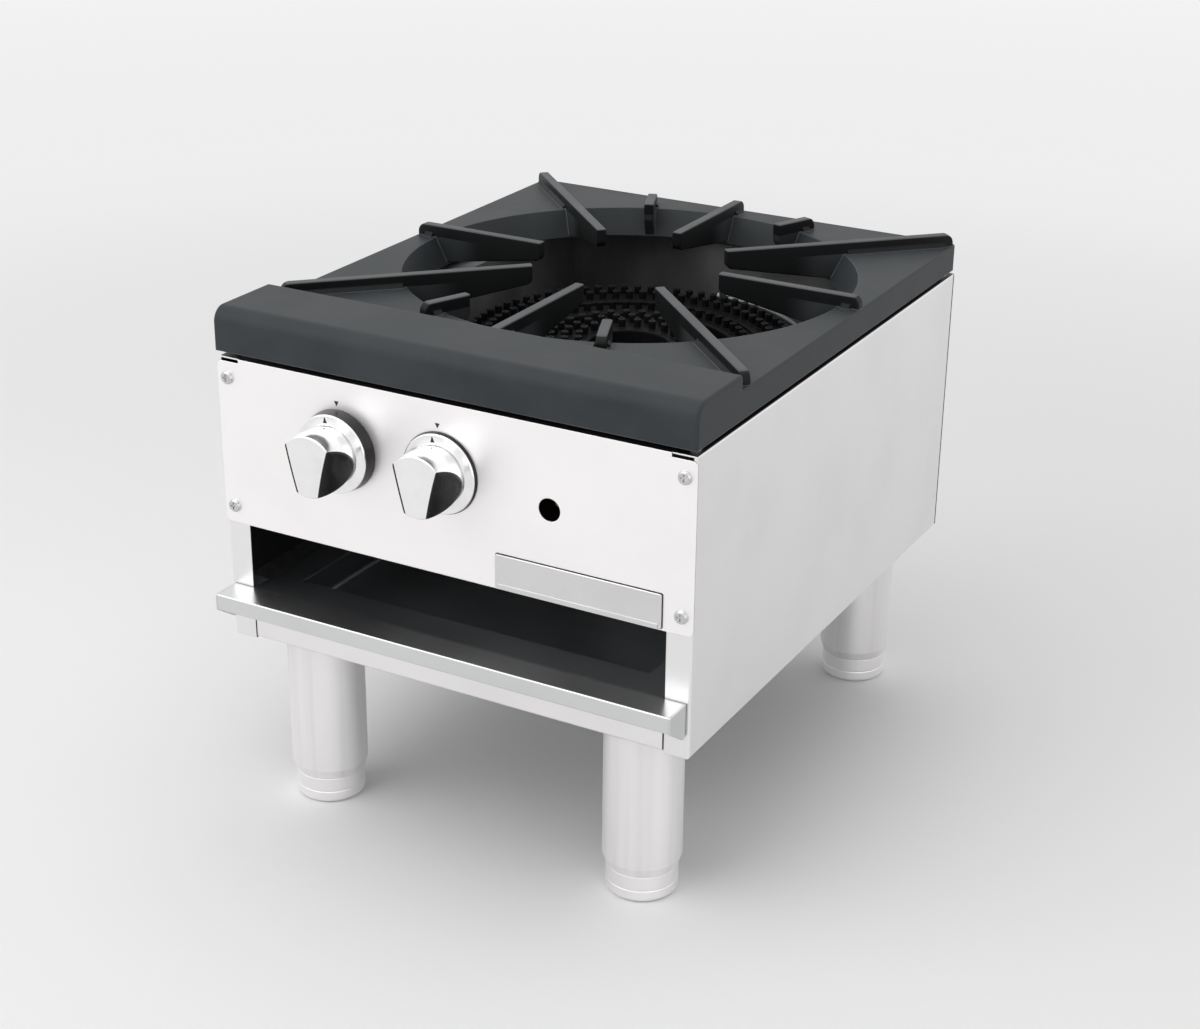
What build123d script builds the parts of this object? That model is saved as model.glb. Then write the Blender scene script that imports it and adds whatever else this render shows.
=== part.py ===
"""A single-burner stock pot range: a stainless casing on four adjustable legs, a cast-iron
two-burner head under a one-piece cast grate, gas train, knobs and a pull-out drip tray.

Millimetres, +Z up, X to the right and Y towards the rear. The origin lies on the floor under
the middle of the whole range, knobs and gas inlet included."""

import os
from math import cos, radians, sin, tan

from build123d import *

os.makedirs("parts", exist_ok=True)

# --------------------------------------------------------------------------- overall sizes
body_width = 457.0  # over the control panel, 18 in
body_depth = 545.0  # control panel face to rear panel face
body_bottom = 163.0  # casing's lower edge above the floor
body_height = 262.0
knob_reach = 47.0  # outer knob's face in front of the panel face
inlet_reach = 30.0  # gas inlet behind the rear panel face

# --------------------------------------------------------------------------- sheet metal
sheet = 1.2  # stainless casing
liner_sheet = 1.0  # heat shields
tray_sheet = 1.2
bar_sheet = 2.0  # burner bars
gusset_thickness = 3.0
panel_overhang = 1.2  # the panel stands this much wider than the sides
bend_radius = 2.0
lap_clearance = 0.6  # between sheets that pass each other
corner_clearance = 1.5  # sheet edge to the inside of a bend

# --------------------------------------------------------------------------- front opening
post_width = 22.8
panel_height = 152.0
panel_corner = 5.0
panel_return = 20.8  # folds behind the panel
notch_height = 3.6  # open corner at each end of the panel's top edge
notch_inset = 1.5  # the notch runs this far inside the post

# --------------------------------------------------------------------------- knobs and marks
outer_knob_x = -104.0
inner_knob_x = -4.3
knob_drop = 61.0  # knob's axis below the casing's top
skirt_radius = 35.4
outer_skirt_face = 14.0  # skirt face in front of the panel face
inner_skirt_face = 5.2
skirt_gap = 0.6  # skirt's back edge to the panel
skirt_wall = 2.0
skirt_edge = 0.8
handle_root_radius = 26.0  # at the skirt
handle_face_radius = 27.0
handle_edge = 1.2
grip_thickness = 2.5
grip_root_offset = 28.2  # grip plane from the knob's axis, at the skirt
grip_face_offset = 17.0  # the same at the face
grip_lean = 14.0  # degrees, the two grips closing towards the bottom
stem_radius = 4.0
stem_clearance = 0.05
stem_hole_radius = 7.0
sight_hole_x = 98.3
sight_hole_drop = 71.3  # below the casing's top
sight_hole_radius = 10.0
plate_from_side = 26.3  # blank name plate, from the casing's side
plate_width = 153.0
plate_height = 30.1
plate_rise = 1.6  # above the panel's lower edge
plate_corner_radius = 1.5
plate_edge = 0.6
plate_thickness = 2.2
plate_bead = 4.0
plate_bead_step = 0.8
plate_bead_inset = 3.0

# --------------------------------------------------------------------------- screws
screw_from_side = 9.3
screw_above_panel_edge = 16.0
screw_below_top = 18.0
rear_screw_above_bottom = 27.0
rear_screw_below_top = 25.0
screw_head_radius = 6.0
screw_head_height = 3.0
screw_head_round = 2.4
screw_radius = 2.0
screw_hole_clearance = 0.2
screw_length = 10.0
recess_width = 1.4
recess_length = 6.4
recess_depth = 1.6

# --------------------------------------------------------------------------- lower channel
channel_gap = 1.5  # channel end to post
channel_depth = 20.0
channel_rise = 1.5  # its lower edge above the casing's
channel_height = 22.0
channel_tab = 18.0

# --------------------------------------------------------------------------- drip tray
tray_rise = 50.0  # tray's top above the casing's lower edge
tray_side_gap = 1.5  # tray to post
tray_from_rear = 45.0
tray_flange = 28.0
pan_front = 32.0  # behind the panel face
pan_from_tray_end = 22.0
pan_depth = 25.0
lip_inset = 3.3  # pull's end inside the casing's side
lip_reach = 27.0  # in front of the panel face
lip_height = 15.0
lip_return = 8.0
lip_gap = 0.3  # closed lip to the posts
cap_thickness = 1.2
cap_drop = 34.0  # end cap's height at the post
cap_corner = 4.0
runner_width = 45.0
runner_height = 20.0
runner_gap = 0.3
runner_front = 26.0

# --------------------------------------------------------------------------- legs and feet
leg_from_side = 64.3
leg_front = 47.0  # behind the panel face
leg_from_rear = 36.5
leg_radius = 34.5
leg_wall = 1.6
leg_taper = 9.0
leg_plug = 12.0
leg_cap = 4.0
leg_boss_radius = 12.0
leg_boss_length = 16.0
foot_radius = 31.5
foot_height = 25.0
foot_seam_height = 11.5
foot_edge = 4.5
foot_seam = 0.7
foot_stud_radius = 6.0
foot_stud_length = 44.0
thread_clearance = 0.05
gusset_gap = 1.0  # to the channel and the rear panel's fold
gusset_length = 76.0
gusset_width = 96.0
leg_bolt_radius = 5.0
leg_bolt_head = 8.5
leg_bolt_head_height = 6.0
leg_bolt_length = 18.0

# --------------------------------------------------------------------------- grate casting
grate_side_inset = 0.5  # inside the panel's ends
grate_front = -1.0  # behind the panel face
grate_gap = 5.0  # casing's top to the casting's lower edge
rim_height = 24.8
finger_height = 36.0
rail_height = 37.5
rail_to_mouth = 28.0  # flat between the rail and the opening
rail_edge = 13.0
rail_end_edge = 3.0
plate_corner = 9.0
casting_wall = 6.0
casting_edge = 2.0
centre_from_rear = 233.0  # burner's axis in front of the rear panel face
mouth_inset = 21.0  # opening at the rim's top, inside the casting's side
cone_run = 13.0  # the opening narrows by this much towards its bottom
finger_width = 9.0
finger_tip_radius = 92.0
finger_tip_depth = 17.0
finger_edge = 1.2
finger_nose = 6.0
finger_shoulder = 8.0
finger_flare = 3.5
flare_rise = 5.25
finger_lift = 2.0  # blade's lower edge above the casting's
finger_inset = 1.0  # blade's end inside the casting's side
corner_finger_inset = 3.5
nub_inward, nub_outward = 14.0, 20.0  # nub's ends from the throat and from the mouth
nub_angles = (67.5, 112.5, 247.5, 292.5)
rest_radius = 5.0
rest_from_side = 8.3
rest_from_end = 14.0
rest_boss_radius = 8.0

# --------------------------------------------------------------------------- fire box
liner_from_side = 49.3
liner_front = 98.0  # behind the panel face
liner_from_rear = 23.0
liner_drop = 85.0  # lower edge below the casing's top
liner_slot_radius = 18.0
liner_tube_hole = 5.0
bar_width = 25.0
bar_height = 22.0
bar_drop = 109.0  # bars' top below the casing's top

# --------------------------------------------------------------------------- burners
deck_drop = 41.0  # burner deck below the casing's top
burner_height = 28.0
burner_wall = 6.0
stud_radius = 3.4
stud_height = 8.0
stud_root = 1.0  # into the deck
port_radius = 1.25
ring_to_liner = 20.0
outer_ring_width = 60.0
outer_step_width = 37.0  # full-height part of the deck, the rest lies lower
outer_step = 3.0
outer_row_insets = (8.5, 25.0, 49.5)  # stud rows, from the ring's outer edge
outer_row_counts = (72, 64, 54)
between_rings = 18.0
inner_ring_width = 43.0
inner_row_insets = (8.0, 20.5, 33.5)
inner_row_counts = (30, 25, 20)
casting_round = 2.0
lug_radius = 7.0
lug_root = 1.0  # into the ring
outer_lug_x = 62.0
venturi_mouth = 84.0  # behind the panel face
mixer_radius = 24.0
mixer_length = 11.0
mixer_face = 3.0
mixer_inset = 0.5  # shutter's rim inside the mixer's
mixer_hole_clearance = 1.0  # mixer's centre hole over the orifice hood
outer_venturi_radius, outer_venturi_bore = 16.0, 10.5
outer_venturi_run = 30.0  # under the ring
inner_venturi_radius, inner_venturi_bore = 15.0, 12.0
inner_venturi_drop = 30.0
inner_venturi_bend = 25.0
inner_venturi_dip, inner_venturi_level = 102.0, 148.0  # behind the panel face
air_window_inner, air_window_outer = 11.0, 20.0
air_window_angle = 60.0
shutter_thickness = 1.5
shutter_clearance = 0.05  # on the orifice hood
shutter_tab = 7.0
shutter_tab_reach = 7.0

# --------------------------------------------------------------------------- gas train
pipe_radius = 13.35  # 3/4 in pipe
pipe_bore = 10.45
inlet_thread_radius = 13.1
inlet_thread_length = 20.0
pipe_behind = 38.0  # manifold's axis behind the panel face
pipe_gap = 0.3  # supply pipe over the burner bars
supply_from_side = 25.3
manifold_overrun = 48.0  # closed end beyond the outer knob's axis
manifold_end_wall = 3.0
elbow_radius = 17.0
elbow_length = 24.0
elbow_socket = 10.0
boss_radius = 10.0
valve_width = 26.0
valve_front, valve_rear = 26.0, 56.0
valve_height = 28.0
valve_corner = 5.0
gland_radius = 9.0
gland_front = 13.0
spigot_radius = 6.0
spigot_length = 8.0
stem_seat = 16.0  # stem's depth inside the valve body
stem_in_knob = 20.0
orifice_radius = 7.0
orifice_round = 3.0
orifice_length = 34.0
orifice_bore = 1.2
orifice_chamber = 6.0  # behind the valve's outlet
outlet_radius = 5.0
outlet_length = 8.0
pilot_front, pilot_rear = 24.0, 50.0
pilot_width = 16.0
pilot_height = 14.0
pilot_corner = 3.0
pilot_screw_radius = 4.0
pilot_screw_reach = 8.0
pilot_slot_width = 1.2
pilot_slot_depth = 2.0
tube_radius = 3.0
tube_bend = 16.0
tube_turn = 124.0  # the tube's first corner, behind the panel face
tube_beside_ring = 8.0  # its axis outside the outer ring
tube_ahead = (112.0, 90.0, 30.0)  # its other corners, in front of the burner's axis
tube_above_deck = 1.0
tube_wrap = 82.0  # degrees, from the right-hand side towards the rear
pilot_radius = 5.0
pilot_edge = 1.5
pilot_below_deck, pilot_above_deck = 12.0, 13.0
pilot_socket_wall = 1.5
pilot_socket_length = 12.0
pilot_arm_width = 16.0
pilot_arm_nose = 6.4  # in front of the pilot burner's axis
pilot_arm_rise = 3.0
pilot_arm_thickness = 2.0
bracket_beside = (28.0, 41.7)  # left of the outer knob's axis, right of the sight hole's
bracket_thickness = 2.5
bracket_foot = 16.0
bracket_height = 44.0
bracket_edge = 6.0  # behind the manifold
inlet_hole_clearance = 1.6

# --------------------------------------------------------------------------- derived places
total_depth = knob_reach + body_depth + inlet_reach
front_y = -total_depth / 2 + knob_reach
body_top = body_bottom + body_height
side_x = body_width / 2 - panel_overhang
inner_wall_x = side_x - sheet
opening_half_width = side_x - post_width
panel_bottom = body_top - panel_height
knob_z = body_top - knob_drop
sight_hole_z = body_top - sight_hole_drop
plate_right = side_x - plate_from_side
plate_left = plate_right - plate_width
plate_bottom = panel_bottom + plate_rise
plate_top = plate_bottom + plate_height

screw_x = side_x - screw_from_side
screw_z_low, screw_z_high = panel_bottom + screw_above_panel_edge, body_top - screw_below_top
rear_screw_z_low = body_bottom + rear_screw_above_bottom
rear_screw_z_high = body_top - rear_screw_below_top

tray_top = body_bottom + tray_rise
tray_half_width = opening_half_width - tray_side_gap
tray_rear = body_depth - tray_from_rear
pan_half_width = tray_half_width - tray_flange
pan_rear = tray_rear - pan_from_tray_end
lip_half_width = side_x - lip_inset
lip_rear = sheet - lip_gap
leg_x = side_x - leg_from_side
leg_rear = body_depth - leg_from_rear

grate_half_width = body_width / 2 - grate_side_inset
grate_centre = body_depth - centre_from_rear
grate_bottom = body_top + grate_gap
rim_top = grate_bottom + rim_height
finger_top = grate_bottom + finger_height
rail_top = grate_bottom + rail_height
mouth_radius = grate_half_width - mouth_inset
throat_radius = mouth_radius - cone_run
rail_rear = grate_centre - mouth_radius - rail_to_mouth
side_finger_reach = grate_half_width - finger_inset
rear_finger_reach = body_depth - grate_centre - 2 * finger_inset
corner_finger_reach = 2**0.5 * (grate_half_width - corner_finger_inset)
nub_inner, nub_outer = throat_radius - nub_inward, mouth_radius + nub_outward
rest_x = side_x - rest_from_side
rest_front, rest_rear = rest_from_end, body_depth - rest_from_end

liner_half_width = side_x - liner_from_side
liner_rear = body_depth - liner_from_rear
liner_bottom = body_top - liner_drop
liner_top = body_top - sheet
burner_deck = body_top - deck_drop
burner_floor = burner_deck - burner_height
outer_ring_outer = liner_half_width - ring_to_liner
outer_ring_inner = outer_ring_outer - outer_ring_width
outer_step_radius = outer_ring_outer - outer_step_width
outer_rows = [(outer_ring_outer - i, count) for i, count in zip(outer_row_insets, outer_row_counts)]
inner_ring_outer = outer_ring_inner - between_rings
inner_ring_inner = inner_ring_outer - inner_ring_width
inner_rows = [(inner_ring_outer - i, count) for i, count in zip(inner_row_insets, inner_row_counts)]
inner_lug_x = (inner_ring_inner + inner_ring_outer) / 2
outer_ring_middle = (outer_ring_inner + outer_ring_outer) / 2
bar_top = body_top - bar_drop
bar_spacing = (outer_ring_middle**2 - outer_lug_x**2) ** 0.5  # the bars pass under the lugs
bar_front, bar_rear = grate_centre - bar_spacing, grate_centre + bar_spacing

pipe_z = bar_top + pipe_radius + pipe_gap
supply_x = side_x - supply_from_side
manifold_left = outer_knob_x - manifold_overrun
bracket_x = (outer_knob_x - bracket_beside[0], sight_hole_x + bracket_beside[1])
boss_top = knob_z - valve_height / 2
orifice_rear = valve_rear + orifice_length
tube_wrap_radius = outer_ring_outer + tube_beside_ring
tube_beside, tube_rise_start, tube_rise_end = [grate_centre - ahead for ahead in tube_ahead]
tube_level = burner_deck + tube_above_deck
pilot_bottom, pilot_top = burner_deck - pilot_below_deck, burner_deck + pilot_above_deck


def behind(distance):
    """y of a point this far behind the control panel's face."""
    return front_y + distance


def facing_front(distance):
    """Plane square to Y, this far behind the panel face, seen from the front."""
    return Plane(origin=(0, behind(distance), 0), x_dir=(1, 0, 0), z_dir=(0, -1, 0))


def block(x_range, depth_range, z_range, mode=Mode.ADD):
    """A box between two x, two distances behind the panel face and two z."""
    x_low, x_high = sorted(x_range)
    near, far = depth_range
    low, high = z_range
    with Locations(((x_low + x_high) / 2, behind((near + far) / 2), (low + high) / 2)):
        Box(x_high - x_low, far - near, high - low, mode=mode)


def save(builder, name):
    """Labels a finished piece and writes its STEP file."""
    builder.part.label = name
    export_step(builder.part, f"parts/{name}.step")


def screw_places(heights):
    """Screw centres on both posts at two heights, in a front-facing plane."""
    return [(side * screw_x, z) for side in (-1, 1) for z in heights]


# =========================================================================== casing
def make_side_panel(side):
    """One side of the casing: a wall with a fold along all four edges."""
    with BuildPart() as side_panel:
        block(
            (side * opening_half_width, side * side_x),
            (sheet, body_depth - sheet),
            (body_bottom, body_top),
        )
        outer_wall = side_panel.faces().sort_by(Axis.X)[-1 if side > 0 else 0]
        fillet(outer_wall.edges(), bend_radius)
        open_side = side_panel.faces().sort_by(Axis.X)[0 if side > 0 else -1]
        offset(amount=-sheet, openings=open_side)
        # relief under the top fold, behind the panel's corner notch
        block(
            (side * (opening_half_width - sheet), side * (inner_wall_x - notch_inset)),
            (0, 2 * sheet),
            (body_top - sheet - notch_height, body_top - sheet),
            Mode.SUBTRACT,
        )
        front_holes = screw_places((screw_z_low, screw_z_high))
        with BuildSketch(facing_front(0)):
            with Locations(*[place for place in front_holes if place[0] * side > 0]):
                Circle(screw_radius + screw_hole_clearance)
        extrude(amount=-screw_length, mode=Mode.SUBTRACT)
        rear_holes = screw_places((rear_screw_z_low, rear_screw_z_high))
        with BuildSketch(facing_front(body_depth)):
            with Locations(*[place for place in rear_holes if place[0] * side > 0]):
                Circle(screw_radius + screw_hole_clearance)
        extrude(amount=screw_length, mode=Mode.SUBTRACT)
        if side > 0:
            with BuildSketch(facing_front(body_depth)):
                with Locations((supply_x, pipe_z)):
                    Circle(pipe_radius + inlet_hole_clearance)
            extrude(amount=screw_length, mode=Mode.SUBTRACT)
    return side_panel


for side, word in ((-1, "left"), (1, "right")):
    save(make_side_panel(side), f"side_panel_{word}")

with BuildPart() as rear_panel:
    block((-side_x, side_x), (body_depth - sheet, body_depth), (body_bottom, body_top))
    fillet(rear_panel.edges().filter_by(Axis.Y), bend_radius)
    fold = opening_half_width - lap_clearance
    block((-fold, fold), (body_depth - panel_return, body_depth), (body_top - sheet, body_top))
    low_fold = leg_x - leg_radius - corner_clearance
    low_fold_z = (body_bottom, body_bottom + sheet)
    block((-low_fold, low_fold), (body_depth - panel_return, body_depth), low_fold_z)
    with BuildSketch(facing_front(body_depth)):
        with Locations((supply_x, pipe_z)):
            Circle(pipe_radius + inlet_hole_clearance)
        with Locations(*screw_places((rear_screw_z_low, rear_screw_z_high))):
            Circle(screw_radius + screw_hole_clearance)
    extrude(amount=sheet, mode=Mode.SUBTRACT)
save(rear_panel, "rear_panel")

with BuildPart() as control_panel:
    notch_x = opening_half_width + notch_inset
    with BuildSketch(facing_front(sheet)):
        with BuildLine():
            Polyline(
                (-body_width / 2, panel_bottom),
                (body_width / 2, panel_bottom),
                (body_width / 2, body_top - notch_height),
                (notch_x, body_top - notch_height),
                (notch_x, body_top),
                (-notch_x, body_top),
                (-notch_x, body_top - notch_height),
                (-body_width / 2, body_top - notch_height),
                close=True,
            )
        make_face()
    extrude(amount=sheet)
    side_edges = control_panel.edges().filter_by(Axis.Y).group_by(Axis.X)
    fillet(side_edges[0] + side_edges[-1], panel_corner)
    fold = opening_half_width - lap_clearance
    block((-fold, fold), (sheet / 2, panel_return), (body_top - sheet, body_top))
    block((-fold, fold), (sheet / 2, panel_return), (panel_bottom, panel_bottom + sheet))
    with BuildSketch(facing_front(0)):
        with Locations((outer_knob_x, knob_z), (inner_knob_x, knob_z)):
            Circle(stem_hole_radius)
        with Locations((sight_hole_x, sight_hole_z)):
            Circle(sight_hole_radius)
        with Locations(*screw_places((screw_z_low, screw_z_high))):
            Circle(screw_radius + screw_hole_clearance)
    extrude(amount=-sheet, mode=Mode.SUBTRACT)
save(control_panel, "control_panel")

with BuildPart() as front_channel:
    channel_half = opening_half_width - channel_gap
    channel_low = body_bottom + channel_rise
    channel_high = channel_low + channel_height
    block((-channel_half, channel_half), (sheet, sheet + channel_depth), (channel_low, channel_high))
    fillet(front_channel.faces().sort_by(Axis.Y)[0].edges().filter_by(Axis.X), bend_radius)
    offset(amount=-sheet, openings=front_channel.faces().sort_by(Axis.Y)[-1])
    # tabs that lap behind the posts
    for side in (-1, 1):
        tab_span = (side * (channel_half - channel_tab), side * (channel_half + channel_tab))
        block(tab_span, (2 * sheet, 3 * sheet), (channel_low + sheet, channel_high - sheet))
save(front_channel, "front_channel")

with BuildPart() as nameplate:
    plate_middle = ((plate_left + plate_right) / 2, (plate_bottom + plate_top) / 2)
    with BuildSketch(facing_front(0)):
        with Locations(plate_middle):
            RectangleRounded(plate_width, plate_height, plate_corner_radius)
    extrude(amount=plate_thickness)
    fillet(nameplate.faces().sort_by(Axis.Y)[0].edges(), plate_edge)
    block(
        (plate_left + plate_bead_inset, plate_right - plate_bead_inset),
        (-plate_thickness - plate_bead_step, -plate_thickness / 2),
        (plate_bottom, plate_bottom + plate_bead),
    )
save(nameplate, "nameplate")


def make_screws(heights, distance, outward):
    """Pan-head screws through both posts; outward is -1 for the front and 1 for the rear."""
    plane = Plane(origin=(0, behind(distance), 0), x_dir=(1, 0, 0), z_dir=(0, -1, 0))
    rise = -outward * screw_head_height
    with BuildPart() as screws:
        with BuildSketch(plane):
            with Locations(*screw_places(heights)):
                Circle(screw_head_radius)
        extrude(amount=rise)
        rims = screws.edges().filter_by(GeomType.CIRCLE).group_by(Axis.Y)
        fillet(rims[0 if outward < 0 else -1], screw_head_round)
        with BuildSketch(plane):
            with Locations(*screw_places(heights)):
                Circle(screw_radius)
        extrude(amount=-rise / abs(rise) * screw_length)
        with BuildSketch(plane.offset(rise)):
            with Locations(*screw_places(heights)):
                Rectangle(recess_length, recess_width)
                Rectangle(recess_width, recess_length)
        extrude(amount=-rise / abs(rise) * recess_depth, mode=Mode.SUBTRACT)
    return screws


save(make_screws((screw_z_low, screw_z_high), 0, -1), "panel_screws")
save(make_screws((rear_screw_z_low, rear_screw_z_high), body_depth, 1), "rear_screws")


# =========================================================================== drip tray
with BuildPart() as drip_tray:
    underside = tray_top - tray_sheet
    pan_bottom = tray_top - pan_depth
    lip_inside = lip_half_width - cap_thickness
    # pan hanging in a flat flange
    block((-pan_half_width, pan_half_width), (pan_front, pan_rear), (pan_bottom, tray_top))
    fillet(drip_tray.faces().sort_by(Axis.Z)[0].edges(), 3 * bend_radius)
    offset(amount=-tray_sheet, openings=drip_tray.faces().sort_by(Axis.Z)[-1])
    with BuildSketch(Plane.XY.offset(underside)):
        with Locations((0, behind((lip_rear + tray_rear) / 2))):
            Rectangle(2 * tray_half_width, tray_rear - lip_rear)
        with Locations((0, behind((pan_front + pan_rear) / 2))):
            Rectangle(2 * pan_half_width, pan_rear - pan_front, mode=Mode.SUBTRACT)
    extrude(amount=tray_sheet)
    # folded pull along the front edge
    with BuildSketch(Plane.YZ.offset(-lip_inside)):
        with BuildLine():
            face_y, post_y = behind(-lip_reach), behind(lip_rear)
            lip_low = tray_top - lip_height
            Polyline(
                (post_y, tray_top),
                (face_y, tray_top),
                (face_y, lip_low),
                (face_y + lip_return, lip_low),
                (face_y + lip_return, lip_low + tray_sheet),
                (face_y + tray_sheet, lip_low + tray_sheet),
                (face_y + tray_sheet, underside),
                (post_y, underside),
                close=True,
            )
        make_face()
    extrude(amount=2 * lip_inside)
    front_edges = drip_tray.edges().filter_by(Axis.X).group_by(Axis.Y)[0]
    fillet(front_edges, tray_sheet)
save(drip_tray, "drip_tray")

with BuildPart() as tray_end_caps:
    for side in (-1, 1):
        inner, outer = side * (lip_half_width - cap_thickness), side * lip_half_width
        with BuildSketch(Plane.YZ.offset(min(inner, outer))) as cap_outline:
            with BuildLine():
                face_y, post_y = behind(-lip_reach), behind(lip_rear)
                Polyline(
                    (post_y, tray_top),
                    (face_y, tray_top),
                    (face_y, tray_top - lip_height),
                    (post_y, tray_top - cap_drop),
                    close=True,
                )
            make_face()
            fillet(cap_outline.vertices().group_by(Axis.X)[0].sort_by(Axis.Y)[-1], tray_sheet)
            fillet(cap_outline.vertices().sort_by(Axis.Y)[0], cap_corner)
        extrude(amount=cap_thickness)
save(tray_end_caps, "tray_end_caps")


def make_runner(side):
    """Angle rail that carries one edge of the tray, fixed to the side wall."""
    top = tray_top - tray_sheet - runner_gap
    with BuildPart() as runner:
        block(
            (side * (inner_wall_x - runner_width), side * inner_wall_x),
            (runner_front, tray_rear),
            (top - sheet, top),
        )
        block(
            (side * (inner_wall_x - sheet), side * inner_wall_x),
            (runner_front, tray_rear),
            (top - runner_height, top),
        )
    return runner


for side, word in ((-1, "left"), (1, "right")):
    save(make_runner(side), f"tray_runner_{word}")


# =========================================================================== legs and feet
leg_places = {
    "front_left": (-leg_x, leg_front),
    "front_right": (leg_x, leg_front),
    "rear_left": (-leg_x, leg_rear),
    "rear_right": (leg_x, leg_rear),
}
leg_top = body_bottom + sheet


def turned(x, distance):
    """Vertical half-plane through a leg's axis."""
    return Plane(origin=(x, behind(distance), 0), x_dir=(1, 0, 0), z_dir=(0, -1, 0))


def make_leg(x, distance):
    """Tubular leg with a capped top and a threaded plug at its tapered lower end."""
    inside = leg_radius - leg_wall
    plug_top = foot_height + leg_plug
    plug_hole = foot_stud_radius + thread_clearance
    bolt_hole = leg_bolt_radius + thread_clearance
    cap_low = leg_top - leg_cap
    boss_low = leg_top - leg_boss_length
    with BuildPart() as leg:
        with BuildSketch(turned(x, distance)):
            with BuildLine():
                Polyline(
                    (plug_hole, foot_height),
                    (foot_radius, foot_height),
                    (leg_radius, foot_height + leg_taper),
                    (leg_radius, leg_top),
                    (bolt_hole, leg_top),
                    (bolt_hole, boss_low),
                    (leg_boss_radius, boss_low),
                    (leg_boss_radius, cap_low),
                    (inside, cap_low),
                    (inside, plug_top),
                    (plug_hole, plug_top),
                    close=True,
                )
            make_face()
        revolve(axis=Axis((x, behind(distance), 0), (0, 0, 1)))
    return leg


def make_foot(x, distance):
    """Adjustable foot: a rounded cup on a threaded stud that screws into the leg."""
    seam_z = foot_seam_height
    with BuildPart() as foot:
        with BuildSketch(turned(x, distance)) as outline:
            with BuildLine():
                Polyline(
                    (0, 0),
                    (foot_radius, 0),
                    (foot_radius, seam_z - foot_seam),
                    (foot_radius - foot_seam, seam_z),
                    (foot_radius, seam_z + foot_seam),
                    (foot_radius, foot_height),
                    (foot_stud_radius, foot_height),
                    (foot_stud_radius, foot_height + foot_stud_length),
                    (0, foot_height + foot_stud_length),
                    close=True,
                )
            make_face()
            corner = outline.vertices().group_by(Axis.Y)[0].sort_by(Axis.X)[-1]
            fillet(corner, foot_edge)
        revolve(axis=Axis((x, behind(distance), 0), (0, 0, 1)))
    return foot


for word, (x, distance) in leg_places.items():
    save(make_leg(x, distance), f"leg_{word}")
    save(make_foot(x, distance), f"foot_{word}")

gusset_low = body_bottom + sheet
gusset_front = sheet + channel_depth + gusset_gap
gusset_rear = body_depth - panel_return - gusset_gap - gusset_length

with BuildPart() as leg_gussets:
    for side in (-1, 1):
        for near in (gusset_front, gusset_rear):
            block(
                (side * (inner_wall_x - gusset_width), side * (inner_wall_x - corner_clearance)),
                (near, near + gusset_length),
                (gusset_low, gusset_low + gusset_thickness),
            )
    with BuildSketch(Plane.XY.offset(gusset_low)):
        with Locations(*[(x, behind(distance)) for x, distance in leg_places.values()]):
            Circle(leg_bolt_radius + screw_hole_clearance)
    extrude(amount=gusset_thickness, mode=Mode.SUBTRACT)
save(leg_gussets, "leg_gussets")

with BuildPart() as leg_bolts:
    seat = gusset_low + gusset_thickness
    places = [(x, behind(distance)) for x, distance in leg_places.values()]
    with BuildSketch(Plane.XY.offset(seat)):
        with Locations(*places):
            RegularPolygon(leg_bolt_head, 6)
    extrude(amount=leg_bolt_head_height)
    with BuildSketch(Plane.XY.offset(seat)):
        with Locations(*places):
            Circle(leg_bolt_radius)
    extrude(amount=-leg_bolt_length)
save(leg_bolts, "leg_bolts")


# =========================================================================== fire box
def make_side_liner(side):
    """Heat shield along one side, hung by a fold under the casing's top fold."""
    with BuildPart() as side_liner:
        outer = liner_half_width + liner_sheet
        span = (liner_front + liner_sheet, liner_rear)
        block((side * liner_half_width, side * outer), span, (liner_bottom, liner_top))
        shelf = (liner_top - liner_sheet, liner_top)
        shelf_edge = inner_wall_x - corner_clearance
        block((side * liner_half_width, side * shelf_edge), span, shelf)
    return side_liner


for side, word in ((-1, "left"), (1, "right")):
    save(make_side_liner(side), f"heat_shield_{word}")

with BuildPart() as heat_shield_rear:
    outer = liner_half_width + liner_sheet
    block((-outer, outer), (liner_rear, liner_rear + liner_sheet), (liner_bottom, liner_top))
    shelf_half = opening_half_width - lap_clearance
    shelf_rear = body_depth - sheet - lap_clearance
    block((-shelf_half, shelf_half), (liner_rear, shelf_rear), (liner_top - liner_sheet, liner_top))
save(heat_shield_rear, "heat_shield_rear")

with BuildPart() as heat_shield_front:
    outer = liner_half_width + liner_sheet
    wall = (liner_front, liner_front + liner_sheet)
    block((-outer, outer), wall, (liner_bottom, liner_top))
    shelf_front = sheet + lap_clearance
    block((-shelf_half, shelf_half), (shelf_front, wall[1]), (liner_top - liner_sheet, liner_top))
    # slots for the two venturis and a hole for the pilot tube
    with BuildSketch(facing_front(liner_front)):
        for x in (outer_knob_x, inner_knob_x):
            with Locations((x, knob_z)):
                Circle(liner_slot_radius)
            with Locations((x, (knob_z + liner_bottom) / 2)):
                Rectangle(2 * liner_slot_radius, knob_z - liner_bottom)
        with Locations((sight_hole_x, sight_hole_z)):
            Circle(liner_tube_hole)
    extrude(amount=-liner_sheet, mode=Mode.SUBTRACT)
save(heat_shield_front, "heat_shield_front")


def make_burner_bar(distance):
    """Inverted channel across the casing that carries a burner's lugs."""
    with BuildPart() as bar:
        block(
            (-inner_wall_x, inner_wall_x),
            (distance - bar_width / 2, distance + bar_width / 2),
            (bar_top - bar_height, bar_top),
        )
        offset(amount=-bar_sheet, openings=bar.faces().sort_by(Axis.Z)[0])
    return bar


for distance, word in ((bar_front, "front"), (grate_centre, "middle"), (bar_rear, "rear")):
    save(make_burner_bar(distance), f"burner_bar_{word}")


# =========================================================================== burners
centre = (0, behind(grate_centre))


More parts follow.
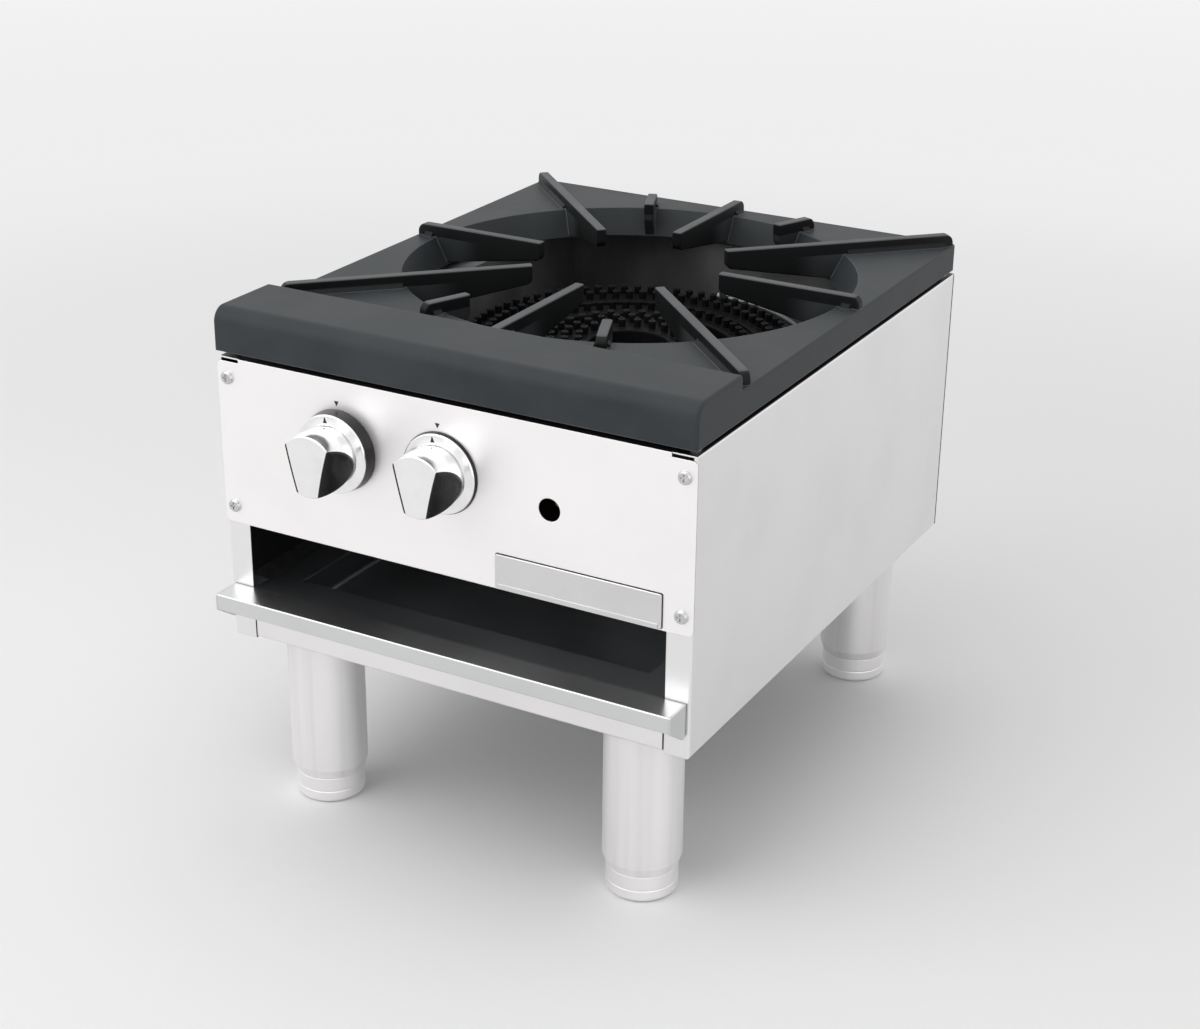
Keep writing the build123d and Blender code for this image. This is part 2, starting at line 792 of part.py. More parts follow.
def ring(inner, outer, low, high, mode=Mode.ADD):
    """Flat ring about the burner's axis."""
    with BuildSketch(Plane.XY.offset(low)) as section:
        with Locations(centre):
            Circle(outer)
            Circle(inner, mode=Mode.SUBTRACT)
    extrude(section.sketch, amount=high - low, mode=mode)


def row_of_circles(radius, count, circle_radius, low, high, mode=Mode.ADD):
    """Upright cylinders spread evenly on a circle about the burner's axis."""
    with BuildSketch(Plane.XY.offset(low)) as section:
        with Locations(centre):
            with PolarLocations(radius, count):
                Circle(circle_radius)
    extrude(section.sketch, amount=high - low, mode=mode)


def mixer(x):
    """Bell at a venturi's mouth, with two air windows and a hole for the orifice."""
    with BuildSketch(facing_front(venturi_mouth)) as bell:
        with Locations((x, knob_z)):
            Circle(mixer_radius)
    extrude(bell.sketch, amount=-mixer_length)
    with BuildSketch(facing_front(venturi_mouth + mixer_face)) as cavity:
        with Locations((x, knob_z)):
            Circle(mixer_radius - mixer_face)
    extrude(cavity.sketch, amount=-(mixer_length - 2 * mixer_face), mode=Mode.SUBTRACT)


def air_windows(x, distance, depth, hole_radius):
    """Two opposite windows and the centre hole, cut through a mixer face or a shutter."""
    with BuildSketch(facing_front(distance)) as windows:
        with Locations((x, knob_z)):
            Circle(air_window_outer)
            Circle(air_window_inner, mode=Mode.SUBTRACT)
            half = air_window_angle / 2
            far = 2 * air_window_outer
            for turn in (0, 180):
                start, end = radians(turn + half), radians(turn + 180 - half)
                Polygon(
                    (0, 0),
                    (far * cos(start), far * sin(start)),
                    (far * cos(end), far * sin(end)),
                    align=None,
                    mode=Mode.SUBTRACT,
                )
            Circle(hole_radius)
    extrude(windows.sketch, amount=-depth, mode=Mode.SUBTRACT)


with BuildPart() as outer_burner:
    low_deck = burner_deck - outer_step
    ring(outer_ring_inner, outer_ring_outer, burner_floor, low_deck)
    ring(outer_step_radius, outer_ring_outer, low_deck, burner_deck)
    rims = outer_burner.edges().filter_by(GeomType.CIRCLE).sort_by(SortBy.RADIUS)
    fillet(rims[:2] + rims[-2:], casting_round)
    for radius, count in outer_rows:
        deck = burner_deck if radius > outer_step_radius else low_deck
        row_of_circles(radius, count, stud_radius, deck - stud_root, deck + stud_height)
    # venturi, straight into the front of the ring
    ring_front = grate_centre - (outer_ring_outer**2 - outer_knob_x**2) ** 0.5
    mixer_rear = venturi_mouth + mixer_length
    with BuildSketch(facing_front(mixer_rear - mixer_face)):
        with Locations((outer_knob_x, knob_z)):
            Circle(outer_venturi_radius)
    extrude(amount=-(ring_front + outer_venturi_run - mixer_rear + mixer_face))
    mixer(outer_knob_x)
    air_windows(outer_knob_x, venturi_mouth, mixer_face, orifice_radius + mixer_hole_clearance)
    # gas space in the ring, the venturi's bore and the flame ports
    gas_low, gas_high = burner_floor + burner_wall, low_deck - burner_wall
    gas_inner, gas_outer = outer_ring_inner + burner_wall, outer_ring_outer - burner_wall
    ring(gas_inner, gas_outer, gas_low, gas_high, Mode.SUBTRACT)
    with BuildSketch(facing_front(mixer_rear - mixer_face)):
        with Locations((outer_knob_x, knob_z)):
            Circle(outer_venturi_bore)
    bore_length = ring_front + outer_venturi_run - burner_wall - mixer_rear + mixer_face
    extrude(amount=-bore_length, mode=Mode.SUBTRACT)
    for radius, count in outer_rows:
        port_low, port_high = gas_high - stud_root, burner_deck + stud_height
        row_of_circles(radius, count, port_radius, port_low, port_high, Mode.SUBTRACT)
    # lugs down to the burner bars
    lug_x = (-outer_lug_x, outer_lug_x)
    with BuildSketch(Plane.XY.offset(bar_top)):
        with Locations(*[(x, behind(y)) for x in lug_x for y in (bar_front, bar_rear)]):
            Circle(lug_radius)
    extrude(amount=burner_floor + lug_root - bar_top)
save(outer_burner, "outer_burner")

with BuildPart() as inner_burner:
    ring(inner_ring_inner, inner_ring_outer, burner_floor, burner_deck)
    fillet(inner_burner.edges().filter_by(GeomType.CIRCLE), casting_round)
    for radius, count in inner_rows:
        row_of_circles(radius, count, stud_radius, burner_deck - stud_root, burner_deck + stud_height)
    # venturi that dips under the outer ring and turns up into the inner one
    low_z = knob_z - inner_venturi_drop
    riser = grate_centre - (inner_ring_inner + inner_ring_outer) / 2
    path_plane = Plane.YZ.offset(inner_knob_x)
    with BuildLine(path_plane) as venturi_path:
        FilletPolyline(
            (behind(venturi_mouth + mixer_length - mixer_face), knob_z),
            (behind(inner_venturi_dip), knob_z),
            (behind(inner_venturi_level), low_z),
            (behind(riser), low_z),
            radius=inner_venturi_bend,
        )
    with BuildSketch(facing_front(venturi_mouth + mixer_length - mixer_face)):
        with Locations((inner_knob_x, knob_z)):
            Circle(inner_venturi_radius)
    sweep(path=venturi_path.line)
    with BuildSketch(Plane.XY.offset(low_z - inner_venturi_radius)):
        with Locations((inner_knob_x, behind(riser))):
            Circle(inner_venturi_radius)
    extrude(amount=burner_floor + burner_wall / 2 + inner_venturi_radius - low_z)
    mixer(inner_knob_x)
    air_windows(inner_knob_x, venturi_mouth, mixer_face, orifice_radius + mixer_hole_clearance)
    gas_low, gas_high = burner_floor + burner_wall, burner_deck - burner_wall
    ring(inner_ring_inner + burner_wall, inner_ring_outer - burner_wall, gas_low, gas_high, Mode.SUBTRACT)
    with BuildSketch(facing_front(venturi_mouth + mixer_length - mixer_face)):
        with Locations((inner_knob_x, knob_z)):
            Circle(inner_venturi_bore)
    sweep(path=venturi_path.line, mode=Mode.SUBTRACT)
    with BuildSketch(Plane.XY.offset(low_z)):
        with Locations((inner_knob_x, behind(riser))):
            Circle(inner_venturi_bore)
    extrude(amount=gas_high - low_z, mode=Mode.SUBTRACT)
    for radius, count in inner_rows:
        port_low, port_high = gas_high - stud_root, burner_deck + stud_height
        row_of_circles(radius, count, port_radius, port_low, port_high, Mode.SUBTRACT)
    with BuildSketch(Plane.XY.offset(bar_top)):
        with Locations(*[(x, behind(grate_centre)) for x in (-inner_lug_x, inner_lug_x)]):
            Circle(lug_radius)
    extrude(amount=burner_floor + lug_root - bar_top)
save(inner_burner, "inner_burner")


def make_shutter(x):
    """Air shutter: a disc on the mixer's face whose windows cover or open the mixer's."""
    near = venturi_mouth - shutter_thickness
    with BuildPart() as shutter:
        with BuildSketch(facing_front(near)):
            with Locations((x, knob_z)):
                Circle(mixer_radius - mixer_inset)
            with Locations((x, knob_z + mixer_radius)):
                RectangleRounded(shutter_tab, 2 * shutter_tab_reach, shutter_tab / 3)
        extrude(amount=-shutter_thickness)
        air_windows(x, near, shutter_thickness, orifice_radius + shutter_clearance)
    return shutter


save(make_shutter(outer_knob_x), "outer_air_shutter")
save(make_shutter(inner_knob_x), "inner_air_shutter")


# =========================================================================== gas train
with BuildPart() as gas_manifold:
    manifold_right = supply_x - elbow_length + elbow_socket
    with BuildSketch(Plane.YZ.offset(manifold_left)):
        with Locations((behind(pipe_behind), pipe_z)):
            Circle(pipe_radius)
    extrude(amount=manifold_right - manifold_left)
    valve_bottom = Plane.XY.offset(pipe_z)
    with BuildSketch(valve_bottom):
        with Locations(*[(x, behind(pipe_behind)) for x in (outer_knob_x, inner_knob_x)]):
            Circle(boss_radius)
    extrude(amount=boss_top - pipe_z)
    with BuildSketch(valve_bottom):
        with Locations((sight_hole_x, behind(pipe_behind))):
            Circle(boss_radius)
    extrude(amount=sight_hole_z - pilot_height / 2 - pipe_z)
    # bore, closed at the left end, and a tapped hole in each boss
    with BuildSketch(Plane.YZ.offset(manifold_left + manifold_end_wall)):
        with Locations((behind(pipe_behind), pipe_z)):
            Circle(pipe_bore)
    extrude(amount=manifold_right - manifold_left, mode=Mode.SUBTRACT)
    with BuildSketch(valve_bottom):
        tapped = (outer_knob_x, inner_knob_x, sight_hole_x)
        with Locations(*[(x, behind(pipe_behind)) for x in tapped]):
            Circle(spigot_radius + thread_clearance)
    extrude(amount=boss_top - pipe_z, mode=Mode.SUBTRACT)
save(gas_manifold, "gas_manifold")

with BuildPart() as gas_elbow:
    corner_y = behind(pipe_behind)
    with Locations((supply_x, corner_y, pipe_z)):
        Sphere(elbow_radius)
    with BuildSketch(Plane.YZ.offset(supply_x)):
        with Locations((corner_y, pipe_z)):
            Circle(elbow_radius)
    extrude(amount=-elbow_length)
    with BuildSketch(facing_front(pipe_behind)):
        with Locations((supply_x, pipe_z)):
            Circle(elbow_radius)
    extrude(amount=-elbow_length)
    # sockets for the two pipes and the passage between them
    with BuildSketch(Plane.YZ.offset(supply_x - elbow_length)):
        with Locations((corner_y, pipe_z)):
            Circle(pipe_radius + thread_clearance)
    extrude(amount=elbow_socket, mode=Mode.SUBTRACT)
    with BuildSketch(facing_front(pipe_behind + elbow_length)):
        with Locations((supply_x, pipe_z)):
            Circle(pipe_radius + thread_clearance)
    extrude(amount=elbow_socket, mode=Mode.SUBTRACT)
    with BuildSketch(Plane.YZ.offset(supply_x - elbow_length)):
        with Locations((corner_y, pipe_z)):
            Circle(pipe_bore)
    extrude(amount=elbow_length, mode=Mode.SUBTRACT)
    with BuildSketch(facing_front(pipe_behind)):
        with Locations((supply_x, pipe_z)):
            Circle(pipe_bore)
    extrude(amount=-elbow_length, mode=Mode.SUBTRACT)
save(gas_elbow, "gas_elbow")

with BuildPart() as gas_inlet_pipe:
    pipe_start = pipe_behind + elbow_length - elbow_socket
    with BuildSketch(facing_front(pipe_start)):
        with Locations((supply_x, pipe_z)):
            Circle(pipe_radius)
            Circle(pipe_bore, mode=Mode.SUBTRACT)
    extrude(amount=-(body_depth + inlet_reach - inlet_thread_length - pipe_start))
    # threaded end, shown as a plain step
    with BuildSketch(facing_front(body_depth + inlet_reach - inlet_thread_length)):
        with Locations((supply_x, pipe_z)):
            Circle(inlet_thread_radius)
            Circle(pipe_bore, mode=Mode.SUBTRACT)
    extrude(amount=-inlet_thread_length)
save(gas_inlet_pipe, "gas_inlet_pipe")

with BuildPart() as manifold_brackets:
    for x in bracket_x:
        block(
            (x, x + bracket_thickness),
            (sheet, pipe_behind + pipe_radius + bracket_edge),
            (pipe_z - bracket_height / 2, pipe_z + bracket_height / 2),
        )
        block(
            (x, x + bracket_foot),
            (sheet, sheet + bracket_thickness),
            (pipe_z - bracket_height / 2, pipe_z + bracket_height / 2),
        )
    with BuildSketch(Plane.YZ.offset(manifold_left)):
        with Locations((behind(pipe_behind), pipe_z)):
            Circle(pipe_radius + thread_clearance)
    extrude(amount=manifold_right - manifold_left, mode=Mode.SUBTRACT)
save(manifold_brackets, "manifold_brackets")


def make_valve(x):
    """Burner valve on the manifold: body, stem gland in front, outlet behind."""
    with BuildPart() as valve:
        block(
            (x - valve_width / 2, x + valve_width / 2),
            (valve_front, valve_rear),
            (knob_z - valve_height / 2, knob_z + valve_height / 2),
        )
        fillet(valve.edges().filter_by(Axis.Y), valve_corner)
        with BuildSketch(facing_front(valve_front)):
            with Locations((x, knob_z)):
                Circle(gland_radius)
        extrude(amount=valve_front - gland_front)
        with BuildSketch(facing_front(valve_rear)):
            with Locations((x, knob_z)):
                Circle(outlet_radius)
        extrude(amount=-outlet_length)
        with BuildSketch(Plane.XY.offset(boss_top)):
            with Locations((x, behind(pipe_behind))):
                Circle(spigot_radius)
        extrude(amount=-spigot_length)
        with BuildSketch(facing_front(gland_front)):
            with Locations((x, knob_z)):
                Circle(stem_radius + stem_clearance)
        extrude(amount=-(valve_front - gland_front + stem_seat + stem_clearance), mode=Mode.SUBTRACT)
    return valve


def make_orifice(x):
    """Brass orifice hood on the valve's outlet, reaching into the mixer."""
    with BuildPart() as orifice:
        with BuildSketch(facing_front(valve_rear)):
            with Locations((x, knob_z)):
                Circle(orifice_radius)
        extrude(amount=-orifice_length)
        fillet(orifice.edges().filter_by(GeomType.CIRCLE).group_by(Axis.Y)[-1], orifice_round)
        with BuildSketch(facing_front(valve_rear)):
            with Locations((x, knob_z)):
                Circle(outlet_radius + thread_clearance)
        extrude(amount=-(outlet_length + orifice_chamber), mode=Mode.SUBTRACT)
        with BuildSketch(facing_front(valve_rear)):
            with Locations((x, knob_z)):
                Circle(orifice_bore)
        extrude(amount=-orifice_length, mode=Mode.SUBTRACT)
    return orifice


def make_stem(x, skirt_face):
    """Valve stem, from the knob's hub into the valve."""
    with BuildPart() as stem:
        with BuildSketch(facing_front(-skirt_face - stem_in_knob)):
            with Locations((x, knob_z)):
                Circle(stem_radius)
        extrude(amount=-(skirt_face + stem_in_knob + valve_front + stem_seat))
    return stem


# =========================================================================== knobs
def make_skirt(x, skirt_face):
    """Round skirt behind the handle: a face with a rim turned back towards the panel."""
    with BuildPart() as skirt:
        with BuildSketch(facing_front(-skirt_gap)):
            with Locations((x, knob_z)):
                Circle(skirt_radius)
        extrude(amount=skirt_face - skirt_gap)
        fillet(skirt.edges().filter_by(GeomType.CIRCLE).group_by(Axis.Y)[0], skirt_edge)
        with BuildSketch(facing_front(-skirt_gap)):
            with Locations((x, knob_z)):
                Circle(skirt_radius - skirt_wall)
        extrude(amount=skirt_face - skirt_gap - skirt_wall, mode=Mode.SUBTRACT)
        with BuildSketch(facing_front(-skirt_gap)):
            with Locations((x, knob_z)):
                Circle(stem_radius + stem_clearance)
        extrude(amount=skirt_face, mode=Mode.SUBTRACT)
    return skirt


handle_length = knob_reach - outer_skirt_face


def grip_cutter(side, inset):
    """Wedge outside one grip plane, in the knob's own frame: y up the face, z out of it.

    The plane leans in towards the bottom of the face and towards the face's side."""
    reach = 4 * handle_face_radius
    lean = reach * tan(radians(grip_lean))
    with BuildPart(mode=Mode.PRIVATE) as cutter:
        with BuildSketch() as root:
            with BuildLine():
                Polyline(
                    (side * (grip_root_offset - inset - lean), -reach),
                    (side * (grip_root_offset - inset + lean), reach),
                    (side * 2 * reach, reach),
                    (side * 2 * reach, -reach),
                    close=True,
                )
            make_face()
        with BuildSketch(Plane.XY.offset(handle_length)) as tip:
            with BuildLine():
                Polyline(
                    (side * (grip_face_offset - inset - lean), -reach),
                    (side * (grip_face_offset - inset + lean), reach),
                    (side * 2 * reach, reach),
                    (side * 2 * reach, -reach),
                    close=True,
                )
            make_face()
        loft([root.sketch, tip.sketch], ruled=True)
    return cutter.part


def handle_blank():
    """Round handle before its two grips are cut, in the knob's own frame."""
    with BuildPart(mode=Mode.PRIVATE) as blank:
        with BuildSketch() as root:
            Circle(handle_root_radius)
        with BuildSketch(Plane.XY.offset(handle_length)) as tip:
            Circle(handle_face_radius)
        loft([root.sketch, tip.sketch])
        fillet(blank.edges().filter_by(GeomType.CIRCLE).group_by(Axis.Z)[-1], handle_edge)
        with BuildSketch() as bore:
            Circle(stem_radius + stem_clearance)
        extrude(bore.sketch, amount=stem_in_knob + stem_clearance, mode=Mode.SUBTRACT)
    return blank.part


def make_handle(x, skirt_face):
    """Bright knob handle: the blank less a grip recess on each side."""
    place = Plane(origin=(x, behind(-skirt_face), knob_z), x_dir=(1, 0, 0), z_dir=(0, -1, 0))
    with BuildPart() as handle:
        with Locations(place):
            add(handle_blank())
            for side in (-1, 1):
                add(grip_cutter(side, grip_thickness), mode=Mode.SUBTRACT)
    return handle


def make_grips(x, skirt_face):
    """Two dark grip inserts that fill the handle's side recesses."""
    place = Plane(origin=(x, behind(-skirt_face), knob_z), x_dir=(1, 0, 0), z_dir=(0, -1, 0))
    blank = handle_blank()
    with BuildPart() as grips:
        with Locations(place):
            for side in (-1, 1):
                with_core = blank & grip_cutter(side, grip_thickness)
                add(with_core - grip_cutter(side, 0))
    return grips


for word, x, skirt_face in (
    ("outer", outer_knob_x, outer_skirt_face),
    ("inner", inner_knob_x, inner_skirt_face),
):
    save(make_valve(x), f"{word}_valve")
    save(make_orifice(x), f"{word}_orifice")
    save(make_stem(x, skirt_face), f"{word}_valve_stem")
    save(make_skirt(x, skirt_face), f"{word}_knob_skirt")
    save(make_handle(x, skirt_face), f"{word}_knob_handle")
    save(make_grips(x, skirt_face), f"{word}_knob_grips")


# =========================================================================== pilot
with BuildPart() as pilot_valve:
    block(
        (sight_hole_x - pilot_width / 2, sight_hole_x + pilot_width / 2),
        (pilot_front, pilot_rear),
        (sight_hole_z - pilot_height / 2, sight_hole_z + pilot_height / 2),
    )
    fillet(pilot_valve.edges().filter_by(Axis.Y), pilot_corner)
    with BuildSketch(facing_front(pilot_front)):
        with Locations((sight_hole_x, sight_hole_z)):
            Circle(pilot_screw_radius)
    extrude(amount=pilot_screw_reach)
    with BuildSketch(facing_front(pilot_front - pilot_screw_reach)):
        with Locations((sight_hole_x, sight_hole_z)):
            Rectangle(2 * pilot_screw_radius, pilot_slot_width)
    extrude(amount=-pilot_slot_depth, mode=Mode.SUBTRACT)
    with BuildSketch(Plane.XY.offset(sight_hole_z - pilot_height / 2)):
        with Locations((sight_hole_x, behind(pipe_behind))):
            Circle(spigot_radius)
    extrude(amount=-spigot_length)
save(pilot_valve, "pilot_valve")

with BuildPart() as pilot_tube:
    # from the pilot valve, out to the right of the burner and round behind its outer ring
    with BuildLine() as tube_path:
        start = (sight_hole_x, behind(pilot_rear), sight_hole_z)
        turn = (sight_hole_x, behind(tube_turn), sight_hole_z)
        beside = (tube_wrap_radius, behind(tube_beside), sight_hole_z)
        rise = (tube_wrap_radius, behind(tube_rise_start), sight_hole_z)
        level = (tube_wrap_radius, behind(tube_rise_end), tube_level)
        east = (tube_wrap_radius, behind(grate_centre), tube_level)
        FilletPolyline(start, turn, beside, rise, level, east, radius=tube_bend)
        half, full = radians(tube_wrap / 2), radians(tube_wrap)
        arc_points = [
            (tube_wrap_radius * cos(a), behind(grate_centre) + tube_wrap_radius * sin(a), tube_level)
            for a in (half, full)
        ]
        ThreePointArc(east, *arc_points)
    with BuildSketch(facing_front(pilot_rear)):
        with Locations((sight_hole_x, sight_hole_z)):
            Circle(tube_radius)
    sweep(path=tube_path.line)
save(pilot_tube, "pilot_tube")

tube_end = arc_points[1]
tube_heading = (-sin(full), cos(full), 0)
tip_x = tube_end[0] + pilot_socket_length / 2 * tube_heading[0]
tip_y = tube_end[1] + pilot_socket_length / 2 * tube_heading[1]
with BuildPart() as pilot_burner:
    # upright tip on a socket that meets the tube's end
    with BuildSketch(Plane(origin=tube_end, z_dir=tube_heading)):
        Circle(tube_radius + pilot_socket_wall)
    extrude(amount=pilot_socket_length)
    with BuildSketch(Plane.XY.offset(pilot_bottom)):
        with Locations((tip_x, tip_y)):
            Circle(pilot_radius)
    extrude(amount=pilot_top - pilot_bottom)
    fillet(pilot_burner.edges().filter_by(GeomType.CIRCLE).group_by(Axis.Z)[-1], pilot_edge)
save(pilot_burner, "pilot_burner")

with BuildPart() as pilot_bracket:
    # arm from the rear heat shield to the pilot burner
    tip_behind = tip_y - front_y
    arm_span = (tip_x - pilot_arm_width / 2, tip_x + pilot_arm_width / 2)
    arm_low = pilot_bottom + pilot_arm_rise
    block(
        arm_span,
        (tip_behind - pilot_arm_nose, liner_rear),
        (arm_low, arm_low + pilot_arm_thickness),
    )
    block(
        arm_span,
        (liner_rear - pilot_arm_thickness, liner_rear),
        (arm_low, arm_low + pilot_arm_width),
    )
    with BuildSketch(Plane.XY.offset(arm_low)):
        with Locations((tip_x, tip_y)):
            Circle(pilot_radius + thread_clearance)
    extrude(amount=pilot_arm_thickness, mode=Mode.SUBTRACT)
save(pilot_bracket, "pilot_bracket")


# =========================================================================== grate
def finger(angle, outer, inner=finger_tip_radius, shoulder=True):
    """One upright blade of the casting, pointing at the burner's axis."""
    origin = (0, behind(grate_centre), 0)
    outward = (cos(radians(angle)), sin(radians(angle)), 0)
    side_on = Plane(origin=origin, x_dir=outward, z_dir=(sin(radians(angle)), -cos(radians(angle)), 0))
    root = mouth_radius + casting_wall / 2
    buried = rim_top - casting_wall / 2
    low = grate_bottom + finger_lift
    with BuildSketch(side_on) as outline:
        with BuildLine():
            Polyline(
                (inner, finger_top),
                (outer, finger_top),
                (outer, buried),
                (root, buried),
                (throat_radius + casting_wall / 2, low),
                (throat_radius, low),
                (inner, finger_top - finger_tip_depth),
                close=True,
            )
        make_face()
        corners = outline.vertices()
        fillet(corners.sort_by_distance((inner, finger_top - finger_tip_depth, 0))[0], finger_nose)
        if shoulder:
            fillet(outline.vertices().sort_by_distance((outer, finger_top, 0))[0], finger_shoulder)
    with BuildPart(mode=Mode.PRIVATE) as blade:
        extrude(outline.sketch, amount=finger_width / 2, both=True)
        flanks = blade.faces().filter_by(lambda face: abs(face.normal_at().dot(side_on.z_dir)) > 0.99)
        shown = [edge for edge in flanks.edges() if edge.center().Z > rim_top or (
            edge.center() - Vector(*origin)).dot(Vector(*outward)) < throat_radius]
        fillet(shown, finger_edge)
    add(blade.part)
    # flare where the blade meets the rim
    end_on = Plane(
        origin=side_on.from_local_coords((mouth_radius + finger_flare, 0, 0)),
        x_dir=(-sin(radians(angle)), cos(radians(angle)), 0),
        z_dir=outward,
    )
    with BuildSketch(end_on) as flare:
        with BuildLine():
            wide, narrow = finger_width / 2 + finger_flare, finger_width / 2 - finger_edge
            Polyline(
                (-wide, rim_top),
                (-narrow, rim_top + flare_rise),
                (narrow, rim_top + flare_rise),
                (wide, rim_top),
                (wide, buried),
                (-wide, buried),
                close=True,
            )
        make_face()
    extrude(flare.sketch, amount=outer - mouth_radius - finger_shoulder - finger_flare)


def cone(extra, mode):
    """The opening's tapered wall, enlarged by a wall thickness or none."""
    with BuildSketch(Plane.XY.offset(grate_bottom)) as throat:
        with Locations(centre):
            Circle(throat_radius + extra)
    with BuildSketch(Plane.XY.offset(rim_top)) as mouth:
        with Locations(centre):
            Circle(mouth_radius + extra)
    loft([throat.sketch, mouth.sketch], mode=mode)


with BuildPart() as grate:
    # plate behind the front rail
    block(
        (-grate_half_width, grate_half_width),
        (rail_rear - casting_wall, body_depth),
        (grate_bottom, rim_top),
    )
    fillet(grate.edges().filter_by(Axis.Z).group_by(Axis.Y)[-1], plate_corner)
    top_edges = grate.faces().sort_by(Axis.Z)[-1].edges().sort_by(Axis.Y)
    fillet(top_edges[1:], casting_edge)
    # front rail, rounded along its front
    with BuildSketch(Plane.YZ.offset(-grate_half_width)) as rail_profile:
        with BuildLine():
            Polyline(
                (behind(grate_front), grate_bottom),
                (behind(grate_front), rail_top),
                (behind(rail_rear), rail_top),
                (behind(rail_rear), grate_bottom),
                close=True,
            )
        make_face()
        upper = rail_profile.vertices().group_by(Axis.Y)[-1].sort_by(Axis.X)
        fillet(upper[0], rail_edge)
        fillet(rail_profile.vertices().sort_by_distance((behind(rail_rear), rail_top, 0))[0], casting_edge)
    with BuildPart(mode=Mode.PRIVATE) as rail:
        extrude(rail_profile.sketch, amount=2 * grate_half_width)
        for end in (rail.faces().sort_by(Axis.X)[0], rail.faces().sort_by(Axis.X)[-1]):
            front_half = end.edges().sort_by(Axis.Y)[:-2]
            fillet([edge for edge in front_half if edge.center().Z > grate_bottom], rail_end_edge)
    add(rail.part)
    # hollow underside
    inside = grate_half_width - casting_wall
    near, far = grate_front + casting_wall, body_depth - casting_wall
    block((-inside, inside), (near, far), (grate_bottom, rim_top - casting_wall), Mode.SUBTRACT)
    rail_span = (near + casting_wall, rail_rear - casting_wall)
    block((-inside, inside), rail_span, (grate_bottom, rail_top - casting_wall), Mode.SUBTRACT)
    # bosses that sit on the casing's rests
    with BuildSketch(Plane.XY.offset(grate_bottom)):
        with Locations(*[(x, behind(y)) for x in (-rest_x, rest_x) for y in (rest_front, rest_rear)]):
            Rectangle(2 * rest_boss_radius, 2 * rest_boss_radius)
    extrude(amount=rim_top - casting_wall / 2 - grate_bottom)
    cone(casting_wall, Mode.ADD)
    cone(0, Mode.SUBTRACT)
    for angle in (45, 135, 225, 315):
        finger(angle, corner_finger_reach)
    for angle in (0, 180):
        finger(angle, side_finger_reach)
    finger(90, rear_finger_reach)
    finger(270, grate_centre - rail_rear + casting_wall, shoulder=False)
    for angle in nub_angles:
        finger(angle, nub_outer, nub_inner)
save(grate, "grate")

with BuildPart() as grate_rests:
    with BuildSketch(Plane.XY.offset(body_top)):
        with Locations(*[(x, behind(y)) for x in (-rest_x, rest_x) for y in (rest_front, rest_rear)]):
            Circle(rest_radius)
    extrude(amount=grate_bottom - body_top)
save(grate_rests, "grate_rests")
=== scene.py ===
"""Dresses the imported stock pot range: finishes for every sheet, casting and fitting, finely
shaped knobs and marks, and a plain studio around them. Metres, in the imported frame."""

from __future__ import annotations

import logging
from dataclasses import dataclass
from enum import Enum
from math import cos, pi, radians, sin, tan
from typing import Any, Iterable

import bmesh
import bpy
from mathutils import Euler, Matrix, Vector

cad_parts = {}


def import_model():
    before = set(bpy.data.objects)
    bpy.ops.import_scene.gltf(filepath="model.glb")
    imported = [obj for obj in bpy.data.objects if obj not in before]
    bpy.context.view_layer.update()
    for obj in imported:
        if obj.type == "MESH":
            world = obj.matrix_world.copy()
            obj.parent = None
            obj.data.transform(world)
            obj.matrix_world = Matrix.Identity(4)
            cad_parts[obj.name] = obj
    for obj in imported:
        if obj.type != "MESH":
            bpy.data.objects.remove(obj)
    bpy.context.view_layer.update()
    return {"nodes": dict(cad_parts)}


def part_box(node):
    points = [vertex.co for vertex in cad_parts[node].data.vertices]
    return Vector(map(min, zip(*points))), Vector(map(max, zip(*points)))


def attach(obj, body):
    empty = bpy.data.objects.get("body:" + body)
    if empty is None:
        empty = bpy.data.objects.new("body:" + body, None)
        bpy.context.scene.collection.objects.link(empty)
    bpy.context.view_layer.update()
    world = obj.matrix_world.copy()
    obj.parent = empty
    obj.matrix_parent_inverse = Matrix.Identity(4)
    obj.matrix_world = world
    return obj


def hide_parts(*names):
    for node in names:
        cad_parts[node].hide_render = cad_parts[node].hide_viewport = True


log = logging.getLogger("stock_pot_range")

MM = 0.001
MICRON = 0.000001
WELD = 0.1 * MICRON  # points nearer than this are one point
SMOOTH_BELOW = radians(32)  # edges that turn less than this look round
SHARP_FROM = radians(40)  # edges that turn more than this are eased
Triple = tuple[float, float, float]
Colour = Triple
WHITE: Colour = (1.0, 1.0, 1.0)


class Body(str, Enum):
    """The bodies that new pieces ride on."""

    CHASSIS = "chassis"
    OUTER_KNOB = "outer_knob"
    INNER_KNOB = "inner_knob"


class Slot(str, Enum):
    """The record's material slots, by name."""

    CHROME = "chrome"
    GRIP = "grip_black"
    PIPE = "black_pipe"


class Axis(str, Enum):
    """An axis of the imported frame; x is read as the distance from the middle plane."""

    X = "X"
    Y = "Y"
    Z = "Z"


Step = tuple[Axis, float, float]
Steps = tuple[Step, ...]


class Grain(Enum):
    """The way a sheet was brushed, as how tightly the pattern is packed along x, y and z."""

    ACROSS = (5.0, 900.0, 900.0)
    DEEP = (900.0, 5.0, 900.0)
    UPRIGHT = (900.0, 900.0, 5.0)


class Facing(Enum):
    """The way that a sheet's bright face looks, as the sign along y of the way to its inside."""

    FRONT = 1
    REAR = -1


class Side(Enum):
    """The two sides of a knob's handle."""

    LEFT = -1
    RIGHT = 1


class Way(Enum):
    """The way that a printed pointer points."""

    UP = 1
    DOWN = -1


